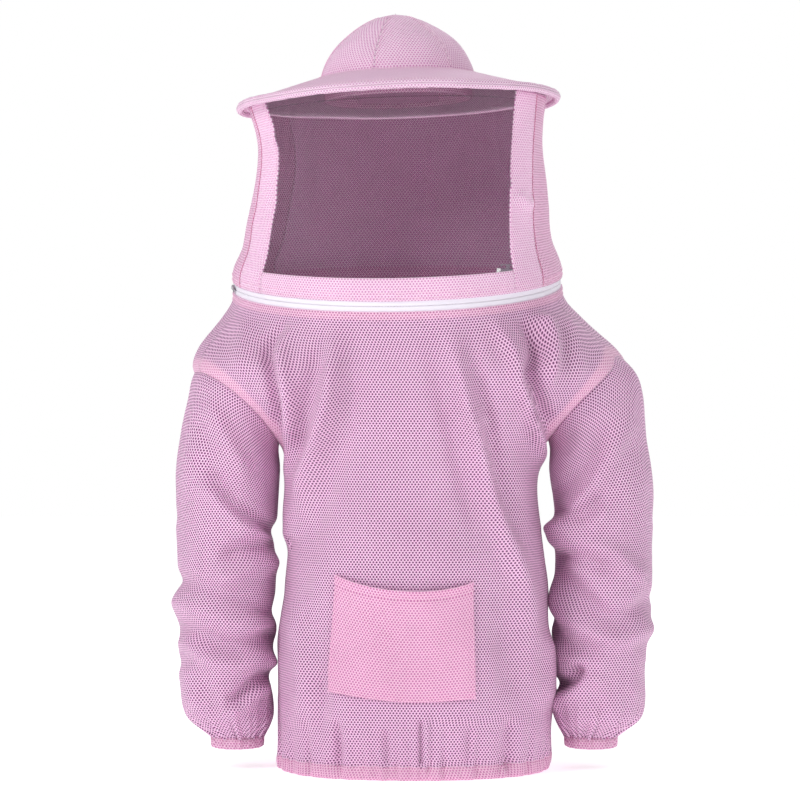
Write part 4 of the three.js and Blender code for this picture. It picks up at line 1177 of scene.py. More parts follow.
def cuff_row(side, offset, height):
    """One level row round a cuff, offset millimetres out of the sleeve's section at the wrist."""
    surface = sleeve_surface(side)
    row = surface(cuff_angle, WRIST_Z + 0 * cuff_angle)
    normals = outward(surface, cuff_angle, WRIST_Z + 0 * cuff_angle)
    normals[..., 2] = 0
    normals /= np.linalg.norm(normals, axis=-1, keepdims=True)
    ripple = 1.3 * gathers(side * cuff_angle * GATHER_ROUND / 2 + 40)
    row = row + normals * (offset + ripple)[:, None]
    row[:, 2] = height
    row[-1] = row[0]
    return row


def cuff_piece(side, hand):
    profile = band_profile(WRIST_Z - CUFF_HEIGHT, WRIST_Z + 1, CUFF_WALL)
    points = np.array([cuff_row(side, offset, height) for offset, height in profile])
    pattern = flat_pattern(points)
    piece = cloth(f"cuff_band_{hand}", points, pattern, 0.8, MESH_DOUBLE, wraps=True)
    elastic, casing = f"cuff_elastic_{hand}", f"cuff_casing_{hand}"
    declare(piece, pattern, f"sleeve_{hand}", [casing])


for side, hand in HANDS:
    cuff_piece(side, hand)

# %% [markdown]
# ## Pocket
# A patch of doubled mesh is stitched to the front on three sides. Its hemmed mouth sags, because a hand
# has stretched it, and it stands a little off the jacket. Its corners are placed as the front view
# shows them, and the place on the body under each one is then worked out.

# %% Pocket cloth
POCKET_CORNERS = np.array([[(-106, 89), (73, 80)], [(-92, 230), (70, 221)]], float)
POCKET_MOUTH_SAG = 15.0
POCKET_FOOT_SAG = 8.0
POCKET_LIFT = 3.4
POCKET_BULGE = 6.5
POCKET_WRINKLE = 0.9
POCKET_TALL = 140.0
FIRST_ROUND, NEXT_ROUND = 170, 165


def under_spots(spots):
    """The (angle, height) of the body under each spot of the front view, by small corrections."""
    angle = np.arcsin(np.clip(spots[..., 0] / FIRST_ROUND, -0.98, 0.98))
    height = spots[..., 1].copy()
    for _ in range(12):
        found = seen_from_front(body_surface(angle, height))
        angle += (spots[..., 0] - found[..., 0]) / (NEXT_ROUND * np.maximum(np.cos(angle), 0.2))
        height += (spots[..., 1] - found[..., 1]) * 0.96
    return angle, height


def pocket_points(across, up, lift):
    """Points on the pocket; across and up run from 0 to 1."""
    low = POCKET_CORNERS[0, 0] + (POCKET_CORNERS[0, 1] - POCKET_CORNERS[0, 0]) * across[..., None]
    high = POCKET_CORNERS[1, 0] + (POCKET_CORNERS[1, 1] - POCKET_CORNERS[1, 0]) * across[..., None]
    arch = 4 * across * (1 - across)
    low[..., 1] -= POCKET_FOOT_SAG * arch**1.5
    high[..., 1] -= POCKET_MOUTH_SAG * arch**0.8
    spots = low + (high - low) * up[..., None]
    angle, height = under_spots(spots)
    free = np.sin(np.pi * across)
    bulge = POCKET_BULGE * free**0.8 * np.sin(np.pi / 2 * np.clip(up, 0, 1)) ** 0.8
    wrinkle = POCKET_WRINKLE * unevenness(np.stack([spots[..., 0], spots[..., 1], 0 * up], -1), 26)
    return body_cloth(angle, height, POCKET_LIFT + bulge + wrinkle * free + lift)


def pocket_part(name, low, high, rows, lift, thickness, node):
    columns = int(91 * fine)
    up = np.linspace(low, high, rows)[:, None] + np.zeros((1, columns))
    across = np.linspace(0, 1, columns)[None, :] + 0 * up
    points = pocket_points(across, up, lift)
    pattern = flat_pattern(points)
    pattern[..., 1] += low * POCKET_TALL
    piece = cloth(name, points, pattern, thickness, MESH_DOUBLE)
    declare(piece, pattern, "jacket", [node])


pocket_part("pocket_patch_cloth", 0.0, 0.93, int(81 * fine), 0.0, 2.0, "pocket_patch")
pocket_part("pocket_mouth_hem", 0.915, 1.0, 9, 0.9, 3.4, "pocket_top_hem")

# %% [markdown]
# ## Hood
# The hood is a tube of cloth between the zip and the brim, with a net window in front. Strips of
# doubled mesh frame the window at its sides, and a band closes it underneath. The tube hangs from the
# brim's hoop, so its cloth falls in soft upright folds, and the net has a few pleats where it was
# gathered at the top.

# %% The hood's folds
HOOD_TURN = math.radians(-5)
HOOD_FOOT_Z = NECK_Z + 6.2
WINDOW_FOOT_Z = HOOD_FOOT_Z + 24.0
WINDOW_TOP_Z = HOOD_TOP_Z - 6.0
HOOD_FOLDS = [
    fold([(-208, 770), (-196, 720), (-200, 660), (-212, 610)], 4, 9),
    fold([(-172, 780), (-171, 700), (-178, 640)], -2, 7),
    fold([(122, 691), (134, 676), (149, 673)], 4, 7),
    fold([(152, 770), (150, 710), (152, 650), (158, 610)], -3, 8),
    fold([(166, 760), (160, 700), (166, 640)], 3, 7),
    fold([(-166, 800), (-168, 760), (-169, 736)], 3, 2.6, True, False),
    fold([(-155, 801), (-157, 751), (-170, 673)], 3, 2.8, True, False),
    fold([(-140, 800), (-146, 745), (-160, 690)], 2, 3.4, True, False),
    fold([(106, 727), (112, 708), (118, 688)], 3, 3),
    fold([(96, 800), (100, 750), (112, 690)], 1.6, 4, True, False),
    fold([(-30, 640), (10, 622), (60, 618)], 1.5, 9),
]
HOOD_BACK_FOLDS = [
    fold([(-120, 780), (-112, 700), (-126, 620)], 5, 14),
    fold([(-60, 780), (-56, 690), (-66, 620)], -4, 16),
    fold([(10, 780), (6, 700), (14, 620)], 4, 18),
    fold([(80, 780), (74, 690), (88, 620)], -4, 14),
    fold([(130, 770), (124, 690), (136, 620)], 5, 14),
]


HOOD_SLACK = ((1.6, 60, 200), (0.5, 24, 0))


def hood_cloth(angle, height, lift=0.0):
    points = hood_surface(angle, height)
    normals = outward(hood_surface, angle, height)
    front = faces_front(normals)
    spots = seen_from_front(points)
    push = fold_height(spots, HOOD_FOLDS) * front + fold_height(spots, HOOD_BACK_FOLDS) * (1 - front)
    push += slack(points, HOOD_SLACK)
    push *= ramp(height, NECK_Z + 4, NECK_Z + 40) * ramp(HOOD_TOP_Z - height, 0, 22)
    return points + normals * (push + lift)[..., None]


WINDOW_HALF_ANGLE, WINDOW_WIDENS = 48, 8
STRIP_WIDTH = 50
BACK_SEAM = math.radians(125)


def window_edge(height):
    share = (height - HOOD_FOOT_Z) / (HOOD_TOP_Z - HOOD_FOOT_Z)
    return np.radians(WINDOW_HALF_ANGLE + WINDOW_WIDENS * share)


def strip_edge(height):
    return window_edge(height) + STRIP_WIDTH / VEIL_RADIUS


def back_seam(height):
    return BACK_SEAM + 0 * height


# %% [markdown]
# ### A part of the tube
# Sides, back, strips, band and net are all bands of one tube. One function makes them, and neighbours
# stop just short of each other, so that no two faces lie in the same place.

# %% Hood pieces
# a line for a bend over the rear neck seam, from just above it to about 12 cm up the back; nothing here
# bends the hood along it
HOOD_BEND = (("jacket", "hood"), (-0.020, 0.130, 0.604), (-0.020, 0.068, 0.707))
SEAM = 0.0008


def hood_part(name, node, finish, edges, heights, grid, thickness=FABRIC, lift=0.0, layers=None):
    """A part of the hood's tube between two edges, which are angles that may change with height."""
    height = np.linspace(*heights, grid[1])[:, None]
    share = np.linspace(0, 1, grid[0])[None, :]
    start, end = (edge(height) for edge in edges)
    angle = HOOD_TURN + (start + SEAM) * (1 - share) + (end - SEAM) * share
    level = height + 0 * angle
    points = hood_cloth(angle, level, lift)
    pattern = flat_pattern(hood_surface(angle, level))
    piece = cloth(name, points, pattern, thickness, finish, layers=layers(level) if layers else None)
    declare(piece, pattern, "hood", [node], blend=HOOD_BEND)


def seam_layers(height):
    """The hood's holes are drawn 0.6 of the way to the doubled colours, and the seam allowance over the zip
    adds a second layer.
    """
    return 0.6 + 0.2 * (1 - ramp(height, HOOD_FOOT_Z + 8, HOOD_FOOT_Z + 11))


def minus(edge):
    return lambda height: -edge(height)


def far_back_seam(height):
    return 2 * math.pi - back_seam(height)


# %% Hood sides and back
whole_hood = (HOOD_FOOT_Z, HOOD_TOP_Z)
tall = int(81 * fine)
side_grid, back_grid = (int(61 * fine), tall), (int(101 * fine), tall)
for name, finish, edges, grid in (
    ("hood_side_left", MESH_CLOTH, (strip_edge, back_seam), side_grid),
    ("hood_side_right", MESH_CLOTH, (minus(back_seam), minus(strip_edge)), side_grid),
    ("hood_back", MESH_PALE, (back_seam, far_back_seam), back_grid),
):
    node = "hood_back_panel" if name == "hood_back" else name
    hood_part(f"{name}_cloth", node, finish, edges, whole_hood, grid, layers=seam_layers)

# %% [markdown]
# ### Window frame and net
# Two strips and a band of doubled mesh frame the window. The net lies a little below their outer face
# and ends in a thicker header under the brim.

# %% Window frame
left_strip = (window_edge, strip_edge)
right_strip = (minus(strip_edge), minus(window_edge))
for name, edges in (("window_strip_left", left_strip), ("window_strip_right", right_strip)):
    hood_part(f"{name}_cloth", name, MESH_PALE, edges, whole_hood, (21, tall))
window = (minus(window_edge), window_edge)
hood_part(
    "window_band_cloth", "window_band_lower", MESH_PALE,
    window, (HOOD_FOOT_Z, WINDOW_FOOT_Z), (int(121 * fine), 13),
)

# %% Veil net
NET_WALL, NET_LIFT = 0.3, -1.2
HEADER_WALL = 2.2
hood_part(
    "veil_net", "veil_window", BLACK_NET,
    window, (WINDOW_FOOT_Z - 1, WINDOW_TOP_Z - 3), (int(181 * fine), int(101 * fine)), NET_WALL, NET_LIFT,
)
hood_part(
    "veil_net_header", "veil_header", BLACK_NET,
    window, (WINDOW_TOP_Z - 4, HOOD_TOP_Z), (int(121 * fine), 5), HEADER_WALL,
)

# %% [markdown]
# ## Zip
# Two white woven tapes lie behind the cloth's edges and meet in the middle, and the nylon teeth are on
# their inner side, so only plain white tape shows from outside. Sewing has puckered it a little.

# %% Zip tapes
ZIP_START, ZIP_END = math.radians(-90), math.radians(140)
TAPE_OFFSET = -1.6
TAPE_GAP = 0.12
TAPE_WALL = 0.7
TAPE_PUCKER = 0.45


def zip_part(name, surface, low, high, node, body, bend):
    columns = int(301 * fine)
    height = np.linspace(low, high, 7)[:, None]
    angle = np.linspace(ZIP_START, ZIP_END, columns)[None, :] + 0 * height
    height = height + 0 * angle
    points = surface(angle, height)
    normals = outward(surface, angle, height)
    run = angle * neck["half_width"]
    across = np.sin(math.pi * (height - low) / (high - low))
    pucker = TAPE_PUCKER * gathers(run * 1.7) * across + 0.8 * unevenness(points, 28)
    points = points + normals * (TAPE_OFFSET + pucker)[..., None]
    pattern = flat_pattern(points)
    piece = cloth(name, points, pattern, TAPE_WALL, WHITE_TAPE)
    declare(piece, pattern, body, [node], blend=bend)


tape_rows = (NECK_Z - NECK_BAND, NECK_Z - TAPE_GAP), (NECK_Z + TAPE_GAP, NECK_Z + NECK_BAND)
zip_part("zip_tape_lower", body_surface, *tape_rows[0], "zip_tape_jacket", "jacket", None)
zip_part("zip_tape_upper", hood_surface, *tape_rows[1], "zip_tape_hood", "hood", HOOD_BEND)

# %% [markdown]
# ### Rear neck binding
# Behind the zip's two ends the hood is sewn to the jacket, and a doubled strip of mesh covers the seam
# inside. It is one more stretch of the neck ring, laid under the cloth and a little rippled.

# %% Rear neck binding
BINDING_START, BINDING_END = math.radians(141.6), math.radians(268.4)
BINDING_OFFSET = -3.8
BINDING_WALL = 1.5


def binding_piece():
    rows = np.linspace(NECK_Z - NECK_BAND, NECK_Z + 8, 9)[:, None]
    angle = np.linspace(BINDING_START, BINDING_END, int(121 * fine))[None, :] + 0 * rows
    height = rows + 0 * angle
    lift = BINDING_OFFSET + 0.5 * gathers(angle * 150)
    points = hood_surface(angle, height) + outward(hood_surface, angle, height) * lift[..., None]
    pattern = flat_pattern(points)
    piece = cloth("neck_binding_cloth", points, pattern, BINDING_WALL, MESH_DOUBLE)
    declare(piece, pattern, "jacket", ["neck_seam_binding"])


binding_piece()

# %% [markdown]
# ## Hat
# The hat is a dome of six gores on a wide round brim. A spring hoop in the brim's edge holds it out,
# and the hood hangs from it. The dome's seams are raised, and its cloth puffs between them.

# %% Hat frame
HAT_PLACE = np.array([-20.0, 0.0, CROWN_BASE_Z])
HAT_ROLL = math.radians(2)
CROWN_HEIGHT, CROWN_POWER = 76.0, 1.55
GORES = 6
GORE_START = math.radians(-17)
GORE_WIDTH = 2 * math.pi / GORES
GORE_PUFF = 2.2
SEAM_RIDGE, SEAM_RIDGE_REACH = 1.1, 3.2
CROWN_UNEVEN = 1.4


def hat_place(points):
    """From the hat's own upright axes to the jacket's."""
    turn = np.array([
        [math.cos(HAT_ROLL), 0, -math.sin(HAT_ROLL)],
        [0, 1, 0],
        [math.sin(HAT_ROLL), 0, math.cos(HAT_ROLL)],
    ])
    return points @ turn.T + HAT_PLACE


def crown_radius(height):
    """The dome's radius at a share of its height."""
    return CROWN_RADIUS * (1 - height**CROWN_POWER) ** (1 / CROWN_POWER)


def crown_points(angle, height, lift=0.0):
    height = np.clip(height, 0, 0.99998)
    radius = crown_radius(height)
    share = ((angle - GORE_START) / GORE_WIDTH) % 1
    upright = np.sin(math.pi * np.clip(height * 1.05, 0, 1)) ** 0.7
    puff = GORE_PUFF * np.sin(math.pi * share) ** 0.8 * upright
    near = np.minimum(share, 1 - share) * radius * GORE_WIDTH
    ridge = SEAM_RIDGE * np.exp(-((near / SEAM_RIDGE_REACH) ** 2)) * ramp(1 - height, 0, 0.15)
    out = puff + ridge + lift
    point = np.stack([radius * np.sin(angle), -radius * np.cos(angle), CROWN_HEIGHT * height], -1)
    slope = np.stack([np.sin(angle), -np.cos(angle), 0.9 + 1.2 * height], -1)
    slope /= np.linalg.norm(slope, axis=-1, keepdims=True)
    point = point + slope * out[..., None]
    dent = CROWN_UNEVEN * unevenness(point + 300, 34) * ramp(height, 0, 0.2)
    return hat_place(point + slope * dent[..., None])


# %% [markdown]
# ### Crown gores
# Six equal gores meet at the top of the dome. Each is a grid that narrows to the top, with rows that
# crowd together there as the dome flattens.

# %% Gores
def gore_piece(index):
    rise = np.sin(np.linspace(0, math.pi / 2, int(61 * fine)))[:, None]
    share = np.linspace(0, 1, int(41 * fine))[None, :]
    angle = GORE_START + (index + share) * GORE_WIDTH + 0 * rise
    points = crown_points(angle, rise + 0 * angle)
    pattern = flat_pattern(points)
    node = f"crown_gore_{index + 1}"
    piece = cloth(f"{node}_cloth", points, pattern, 1.6, MESH_PALE)
    declare(piece, pattern, "hood", [node])


for index in range(GORES):
    gore_piece(index)

# %% [markdown]
# ### Brim
# The brim is two rings of doubled mesh, sewn together in rings with a springy hoop in a binding at the
# edge. Each layer is a shallow cone of its own, so that the space between them is real. Its edge is
# slightly wavy, because a hoop of thin wire never lies quite flat.

# %% Brim
BRIM_OUT = 189.0
BRIM_CLOTH = 2.2
BRIM_UPPER_LIFT, BRIM_LOWER_LIFT = 1.2, -3.6
HOOP_RING = 190.05
HOOP_Z = -30.5
DROOP = 1.6
DROOP_AT, DROOP_REACH = math.radians(-88), 0.42
QUILTING = 0.5


def brim_wave(angle, radius):
    """The brim is soft, so its edge dips and rises a little; it droops at the wearer's right."""
    share = ramp(radius, CROWN_RADIUS, BRIM_OUT)
    turned = np.arctan2(np.sin(angle - DROOP_AT), np.cos(angle - DROOP_AT))
    droop = -DROOP * np.exp(-((turned / DROOP_REACH) ** 2))
    wave = 0.8 * np.sin(2 * angle + 0.7) + 0.5 * np.sin(5 * angle + 2.1) + 0.3 * np.sin(9 * angle)
    return share * (droop + wave)


def brim_point(angle, radius, lift):
    z = -BRIM_SLOPE * (radius - CROWN_RADIUS) + lift + brim_wave(angle, radius)
    return hat_place(np.stack([radius * np.sin(angle), -radius * np.cos(angle), z], -1))


def brim_piece(name, lift, node, faces_up):
    """Rows run from the edge in to the crown where a layer faces up, and outwards where it faces down."""
    edge = np.linspace(BRIM_OUT, CROWN_RADIUS - 0.5, int(41 * fine))[:, None]
    if not faces_up:
        edge = edge[::-1]
    angle = np.linspace(-math.pi, math.pi, int(241 * fine))[None, :] + 0 * edge
    radius = edge + 0 * angle
    ripple = np.sin((BRIM_OUT - radius) / 7.0 * math.pi)
    quilt = QUILTING * ripple * ramp(radius, BRIM_OUT - 30, BRIM_OUT - 20)
    points = brim_point(angle, radius, lift + quilt)
    points[:, -1] = points[:, 0]
    pattern = flat_pattern(points)
    piece = cloth(name, points, pattern, BRIM_CLOTH, MESH_PALE, wraps=True)
    declare(piece, pattern, "hood", [node])


brim_piece("brim_upper_cloth", BRIM_UPPER_LIFT, "brim_upper", True)
brim_piece("brim_lower_cloth", BRIM_LOWER_LIFT, "brim_lower", False)

# %% [markdown]
# ### Brim binding
# A folded strip covers the hoop at the brim's edge. It is a slightly lumpy oval tube that follows the
# brim's waves.

# %% Brim binding
BINDING_HALF_WIDTH, BINDING_HALF_HEIGHT = 4.2, 5.2


def brim_binding():
    around = np.linspace(0, 2 * math.pi, 17)[:, None]
    angle = np.linspace(-math.pi, math.pi, int(361 * fine))[None, :] + 0 * around
    lump = 1 + 0.05 * gathers(angle * 190)
    radius = HOOP_RING + BINDING_HALF_WIDTH * np.cos(around) * lump
    z = HOOP_Z + BINDING_HALF_HEIGHT * np.sin(around) * lump + brim_wave(angle, BRIM_OUT + 0 * angle)
    points = hat_place(np.stack([radius * np.sin(angle), -radius * np.cos(angle), z], -1))
    points[:, -1] = points[:, 0]
    pattern = flat_pattern(points)
    piece = cloth("brim_edge_binding", points, pattern, 1.0, MESH_PALE, wraps=True)
    declare(piece, pattern, "hood", ["brim_binding"])


brim_binding()

# %% [markdown]
# ### Sweatband
# A band of doubled mesh under the dome rests on the head, and a short elastic at the back draws it
# snug. Both are upright bands round the same axis, so one function makes them.

# %% Sweatband
def ring_piece(name, node, finish, radius, heights, thickness, start, end, wraps=False):
    height = np.linspace(*heights, 9)[:, None]
    angle = np.linspace(start, end, int(161 * fine))[None, :] + 0 * height
    ripple = radius + 0.5 * gathers(angle * radius)
    points = hat_place(np.stack([ripple * np.sin(angle), -ripple * np.cos(angle), height + 0 * angle], -1))
    if wraps:
        points[:, -1] = points[:, 0]
    pattern = flat_pattern(points)
    piece = cloth(name, points, pattern, thickness, finish, wraps=wraps)
    declare(piece, pattern, "hood", [node])


SWEATBAND_RADIUS, SWEATBAND_WALL, SWEATBAND_HEIGHTS = 88.3, 1.6, (-28, -1)
ELASTIC_RADIUS, ELASTIC_WALL, ELASTIC_HEIGHTS = 86.0, 1.1, (-22, -6)
ring_piece(
    "sweatband_cloth", "sweatband", MESH_DOUBLE,
    SWEATBAND_RADIUS, SWEATBAND_HEIGHTS, SWEATBAND_WALL, -math.pi, math.pi, wraps=True,
)
ring_piece(
    "sweatband_elastic_braid", "sweatband_elastic", DYED_ELASTIC,
    ELASTIC_RADIUS, ELASTIC_HEIGHTS, ELASTIC_WALL, math.radians(145), math.radians(215),
)

# %% [markdown]
# ## Elastics and hardware
# The elastics lie inside their casings. They are flat braid, so each is a plain band with a braided
# finish. The slider, pull, stops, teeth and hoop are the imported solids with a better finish.


# %% Elastic bands
def elastic_band(name, rows, wall, body, node):
    points = np.array(rows)
    pattern = flat_pattern(points)
    piece = cloth(name, points, pattern, wall, WHITE_ELASTIC, wraps=True)
    declare(piece, pattern, body, [node])


hem_rows = [hem_row(-2.6, height) for height in np.linspace(3.5, 14, 4)]
elastic_band("hem_elastic_braid", hem_rows, 1.6, "jacket", "hem_elastic")
for side, hand in HANDS:
    cuff_rows = [cuff_row(side, -2.2, height) for height in np.linspace(26.6, 37, 4)]
    elastic_band(f"cuff_elastic_braid_{hand}", cuff_rows, 1.0, f"sleeve_{hand}", f"cuff_elastic_{hand}")


# %% [markdown]
# ### Metal and nylon parts
# The hidden hardware is small and hard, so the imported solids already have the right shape. Only their
# finish is changed.

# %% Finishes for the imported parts
def refinish(names, finish):
    for name in names:
        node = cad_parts[name]
        node.data.materials.clear()
        node.data.materials.append(finish)


refinish(["zip_slider", "zip_pull", "zip_top_stop", "zip_retainer_box"], ZINC_ALLOY)
refinish(["zip_coil_jacket", "zip_coil_hood"], NYLON_TEETH)
refinish(["brim_hoop"], SPRING_WIRE)

# %% [markdown]
# ## Stitching
# A row of stitches is the same small stitch repeated along a line, which suits Geometry Nodes: the
# line is resampled at the stitch pitch, and a short capsule is laid along it at each point. The same
# tree makes every row. A second tree sets the points of a line alternately to both sides, which makes
# the zigzag of an overlocked seam.


# %% Stitch tree
def tree_input(tree, name, kind, value=None):
    socket = tree.interface.new_socket(name, in_out="INPUT", socket_type=kind)
    if value is not None:
        socket.default_value = value


def stitch_tree():
    tree = bpy.data.node_groups.new("topstitch_row", "GeometryNodeTree")
    tree_input(tree, "Line", "NodeSocketGeometry")
    tree_input(tree, "Stitch pitch", "NodeSocketFloat", 0.003)
    tree_input(tree, "Stitch length", "NodeSocketFloat", 0.0022)
    tree_input(tree, "Thread width", "NodeSocketFloat", 0.0006)
    tree_input(tree, "Thread", "NodeSocketMaterial")
    tree.interface.new_socket("Stitches", in_out="OUTPUT", socket_type="NodeSocketGeometry")
    given = add_node(tree, "NodeGroupInput").outputs
    line = add_node(tree, "GeometryNodeMeshToCurve", {}, {"Mesh": given["Line"]})
    pitch = {"Curve": line.outputs[0], "Length": given["Stitch pitch"]}
    spaced = add_node(tree, "GeometryNodeResampleCurve", {"mode": "LENGTH"}, pitch)
    tangent = add_node(tree, "GeometryNodeInputTangent").outputs[0]
    turned = add_node(tree, "FunctionNodeAlignRotationToVector", {"axis": "X"}, {"Vector": tangent})
    capsule = add_node(tree, "GeometryNodeMeshUVSphere", {}, {"Segments": 6, "Rings": 4, "Radius": 0.5})
    size = add_node(
        tree,
        "ShaderNodeCombineXYZ",
        {},
        {"X": given["Stitch length"], "Y": given["Thread width"], "Z": given["Thread width"]},
    )
    laid = {
        "Points": spaced.outputs[0],
        "Instance": capsule.outputs["Mesh"],
        "Rotation": turned.outputs[0],
        "Scale": size.outputs[0],
    }
    placed = add_node(tree, "GeometryNodeInstanceOnPoints", {}, laid)
    real = add_node(tree, "GeometryNodeRealizeInstances", {}, {0: placed.outputs[0]})
    coloured = {"Geometry": real.outputs[0], "Material": given["Thread"]}
    done = add_node(tree, "GeometryNodeSetMaterial", {}, coloured)
    tree.links.new(done.outputs[0], add_node(tree, "NodeGroupOutput").inputs[0])
    return tree


def zigzag_tree():
    tree = bpy.data.node_groups.new("overlock_zigzag", "GeometryNodeTree")
    tree_input(tree, "Line", "NodeSocketGeometry")
    tree_input(tree, "Stitch pitch", "NodeSocketFloat", 0.0018)
    tree_input(tree, "Half width", "NodeSocketFloat", 0.0018)
    tree_input(tree, "Thread width", "NodeSocketFloat", 0.0007)
    tree_input(tree, "Thread", "NodeSocketMaterial")
    tree.interface.new_socket("Seam", in_out="OUTPUT", socket_type="NodeSocketGeometry")
    given = add_node(tree, "NodeGroupInput").outputs
    line = add_node(tree, "GeometryNodeMeshToCurve", {}, {"Mesh": given["Line"]})
    pitch = {"Curve": line.outputs[0], "Length": given["Stitch pitch"]}
    spaced = add_node(tree, "GeometryNodeResampleCurve", {"mode": "LENGTH"}, pitch)
    index = add_node(tree, "GeometryNodeInputIndex").outputs[0]
    odd = add_node(tree, "ShaderNodeMath", {"operation": "MODULO"}, {0: index, 1: 2.0})
    to_sign = {0: odd.outputs[0], 1: 2.0, 2: -1.0}
    sign = add_node(tree, "ShaderNodeMath", {"operation": "MULTIPLY_ADD"}, to_sign)
    multiply = {"operation": "MULTIPLY"}
    reach = add_node(tree, "ShaderNodeMath", multiply, {0: sign.outputs[0], 1: given["Half width"]})
    tangent = add_node(tree, "GeometryNodeInputTangent").outputs[0]
    named = {"data_type": "FLOAT_VECTOR"}
    stored = add_node(tree, "GeometryNodeInputNamedAttribute", named, {"Name": "out"}).outputs[0]
    cross = {"operation": "CROSS_PRODUCT"}
    across = add_node(tree, "ShaderNodeVectorMath", cross, {0: tangent, 1: stored}).outputs[0]
    scale = {"operation": "SCALE"}
    move = add_node(tree, "ShaderNodeVectorMath", scale, {0: across, "Scale": reach.outputs[0]})
    offset = {"Geometry": spaced.outputs[0], "Offset": move.outputs[0]}
    shifted = add_node(tree, "GeometryNodeSetPosition", {}, offset)
    half_width = add_node(tree, "ShaderNodeMath", multiply, {0: given["Thread width"], 1: 0.5})
    section = {"Resolution": 5, "Radius": half_width.outputs[0]}
    wire = add_node(tree, "GeometryNodeCurvePrimitiveCircle", {}, section)
    swept = {"Curve": shifted.outputs[0], "Profile Curve": wire.outputs[0], "Fill Caps": True}
    thread = add_node(tree, "GeometryNodeCurveToMesh", {}, swept)
    real = add_node(tree, "GeometryNodeRealizeInstances", {}, {0: thread.outputs[0]})
    coloured = {"Geometry": real.outputs[0], "Material": given["Thread"]}
    done = add_node(tree, "GeometryNodeSetMaterial", {}, coloured)
    tree.links.new(done.outputs[0], add_node(tree, "NodeGroupOutput").inputs[0])
    return tree


TOPSTITCH = stitch_tree()
ZIGZAG = zigzag_tree()


# %% [markdown]
# ### Laying the rows
# A row is a line of points on the cloth's outer face. The tree is run over it once, and its result is
# kept as a plain mesh, since a live modifier could not ride on a body.

# %% Rows of stitches
def line_object(name, lines):
    """Edges through lists of points in millimetres, with the cloth's outward direction at each."""
    vertices, edges, outs = [], [], []
    for points, normals in lines:
        first = len(vertices)
        vertices += (points * MM).tolist()
        outs += normals.tolist()
        edges += [(first + k, first + k + 1) for k in range(len(points) - 1)]
    mesh = bpy.data.meshes.new(name)
    mesh.from_pydata(vertices, edges, [])
    out = mesh.attributes.new("out", "FLOAT_VECTOR", "POINT")
    out.data.foreach_set("vector", np.array(outs, np.float32).ravel())
    made = bpy.data.objects.new(name, mesh)
    bpy.context.scene.collection.objects.link(made)
    return made


def sewn(name, lines, tree, sizes, body, blend=None):
    """Runs a stitch tree over lines and keeps the result as one plain mesh."""
    source = line_object(name + "_line", lines)
    modifier = source.modifiers.new("sewing", "NODES")
    modifier.node_group = tree
    for item in tree.interface.items_tree:
        if item.in_out == "INPUT" and item.name in sizes:
            modifier[item.identifier] = sizes[item.name]
    bpy.context.view_layer.update()
    evaluated = source.evaluated_get(bpy.context.evaluated_depsgraph_get())
    mesh = bpy.data.meshes.new_from_object(evaluated)
    mesh.name = name
    mesh.shade_smooth()
    piece = bpy.data.objects.new(name, mesh)
    bpy.context.scene.collection.objects.link(piece)
    bpy.data.objects.remove(source)
    if blend:
        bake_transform(piece)
    else:
        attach(piece, body)
    print(name, len(mesh.polygons), "faces")


def line_of(points):
    """A line with outward directions guessed from the jacket's middle."""
    middle = np.array([-10.0, 0.0, 0.0])
    out = (points - middle) * np.array([1, 1, 0])
    return points, out / np.linalg.norm(out, axis=-1, keepdims=True)


fine_row = {"Stitch pitch": 0.0032, "Stitch length": 0.0024, "Thread width": 0.0007, "Thread": PINK_THREAD}
ring = np.linspace(-math.pi, math.pi, 361)


# %% [markdown]
# ### Where the stitches run
# Twin rows run beside each gore's seam and on both sides of the zip, and rings run round the brim.
# Single rows hold the pocket, the hem and the cuffs, and the hood's strips have an overlocked seam in
# a darker thread.

# %% Hat stitches
GORE_ROW = 2.6
BRIM_RINGS = (184.0, 178.0, 171.0, 97.0)


def gore_rows():
    rows = []
    for index in range(GORES):
        for offset in (-GORE_ROW, GORE_ROW):
            height = np.linspace(0.0, 0.93, 40)
            angle = GORE_START + index * GORE_WIDTH + offset / crown_radius(height)
            rows.append(line_of(crown_points(angle, height, 0.35)))
    return rows


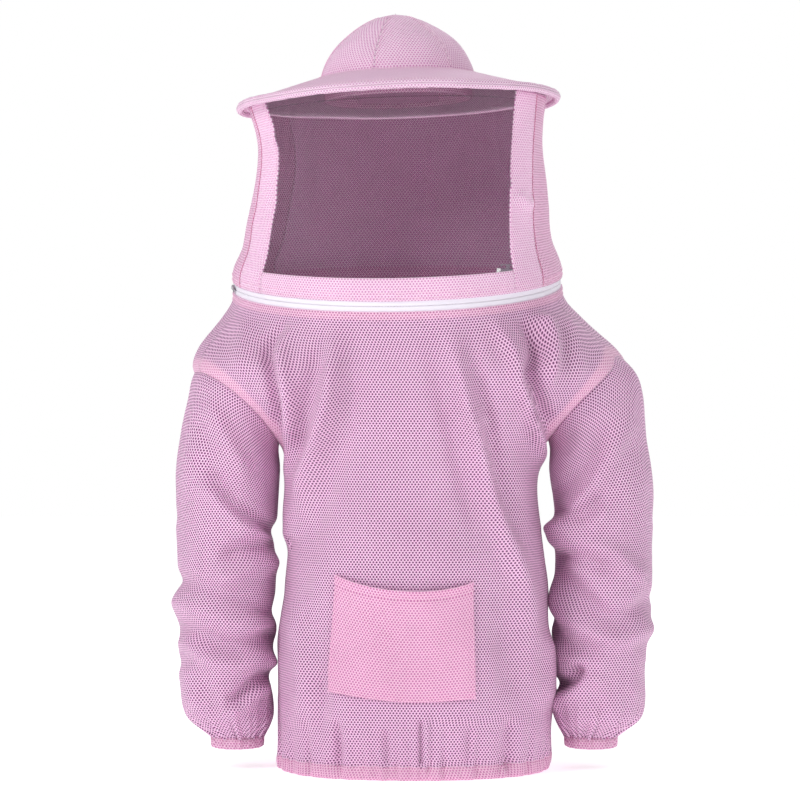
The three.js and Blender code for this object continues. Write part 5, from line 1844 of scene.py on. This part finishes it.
def brim_rows():
    return [line_of(brim_point(ring, radius + 0 * ring, 1.6)) for radius in BRIM_RINGS]


sewn("hat_topstitching", gore_rows() + brim_rows(), TOPSTITCH, fine_row, "hood")


# %% Body stitches
ZIP_ROWS = (3.0, 9.0)


def body_line(angle, height, lift=0.5):
    return line_of(body_cloth(angle, height, lift))


def pocket_rows():
    up = np.linspace(0.0, 1.0, 60)
    rows = []
    for across in (0.012, 0.988):
        rows.append(line_of(pocket_points(across + 0 * up, up, 0.4)))
    across = np.linspace(0.01, 0.99, 80)
    rows.append(line_of(pocket_points(across, 0.016 + 0 * across, 0.4)))
    rows.append(line_of(pocket_points(across, 0.93 + 0 * across, 0.9)))
    return rows


def neck_rows():
    return [body_line(ring, BODY_TOP_Z - drop + 0 * ring) for drop in ZIP_ROWS]


body_rows = pocket_rows() + neck_rows() + [line_of(hem_row(0.7, 13.5))]
sewn("body_topstitching", body_rows, TOPSTITCH, fine_row, "jacket")
for side, hand in HANDS:
    cuff_stitches = [line_of(cuff_row(side, 0.5, WRIST_Z - 3))]
    sewn(f"cuff_topstitching_{hand}", cuff_stitches, TOPSTITCH, fine_row, f"sleeve_{hand}")


# %% Hood stitches
def hood_line(angle, height, lift=0.4):
    return line_of(hood_cloth(HOOD_TURN + angle, height, lift))


hood_heights = np.linspace(HOOD_FOOT_Z + 2, HOOD_TOP_Z - 2, 70)
beside_window = window_edge(hood_heights) + 2.5 / VEIL_RADIUS
hood_rows = [hood_line(sign * beside_window, hood_heights) for sign in (1, -1)]
hood_rows += [hood_line(ring, HOOD_FOOT_Z + rise + 0 * ring) for rise in ZIP_ROWS]
sewn("hood_topstitching", hood_rows, TOPSTITCH, fine_row, "hood", blend=HOOD_BEND)
overlock = {"Stitch pitch": 0.0020, "Half width": 0.0016, "Thread width": 0.0008, "Thread": OVERLOCK_THREAD}
overlock_rows = [hood_line(sign * strip_edge(hood_heights), hood_heights, 0.3) for sign in (1, -1)]
sewn("hood_overlock_seams", overlock_rows, ZIGZAG, overlock, "hood", blend=HOOD_BEND)
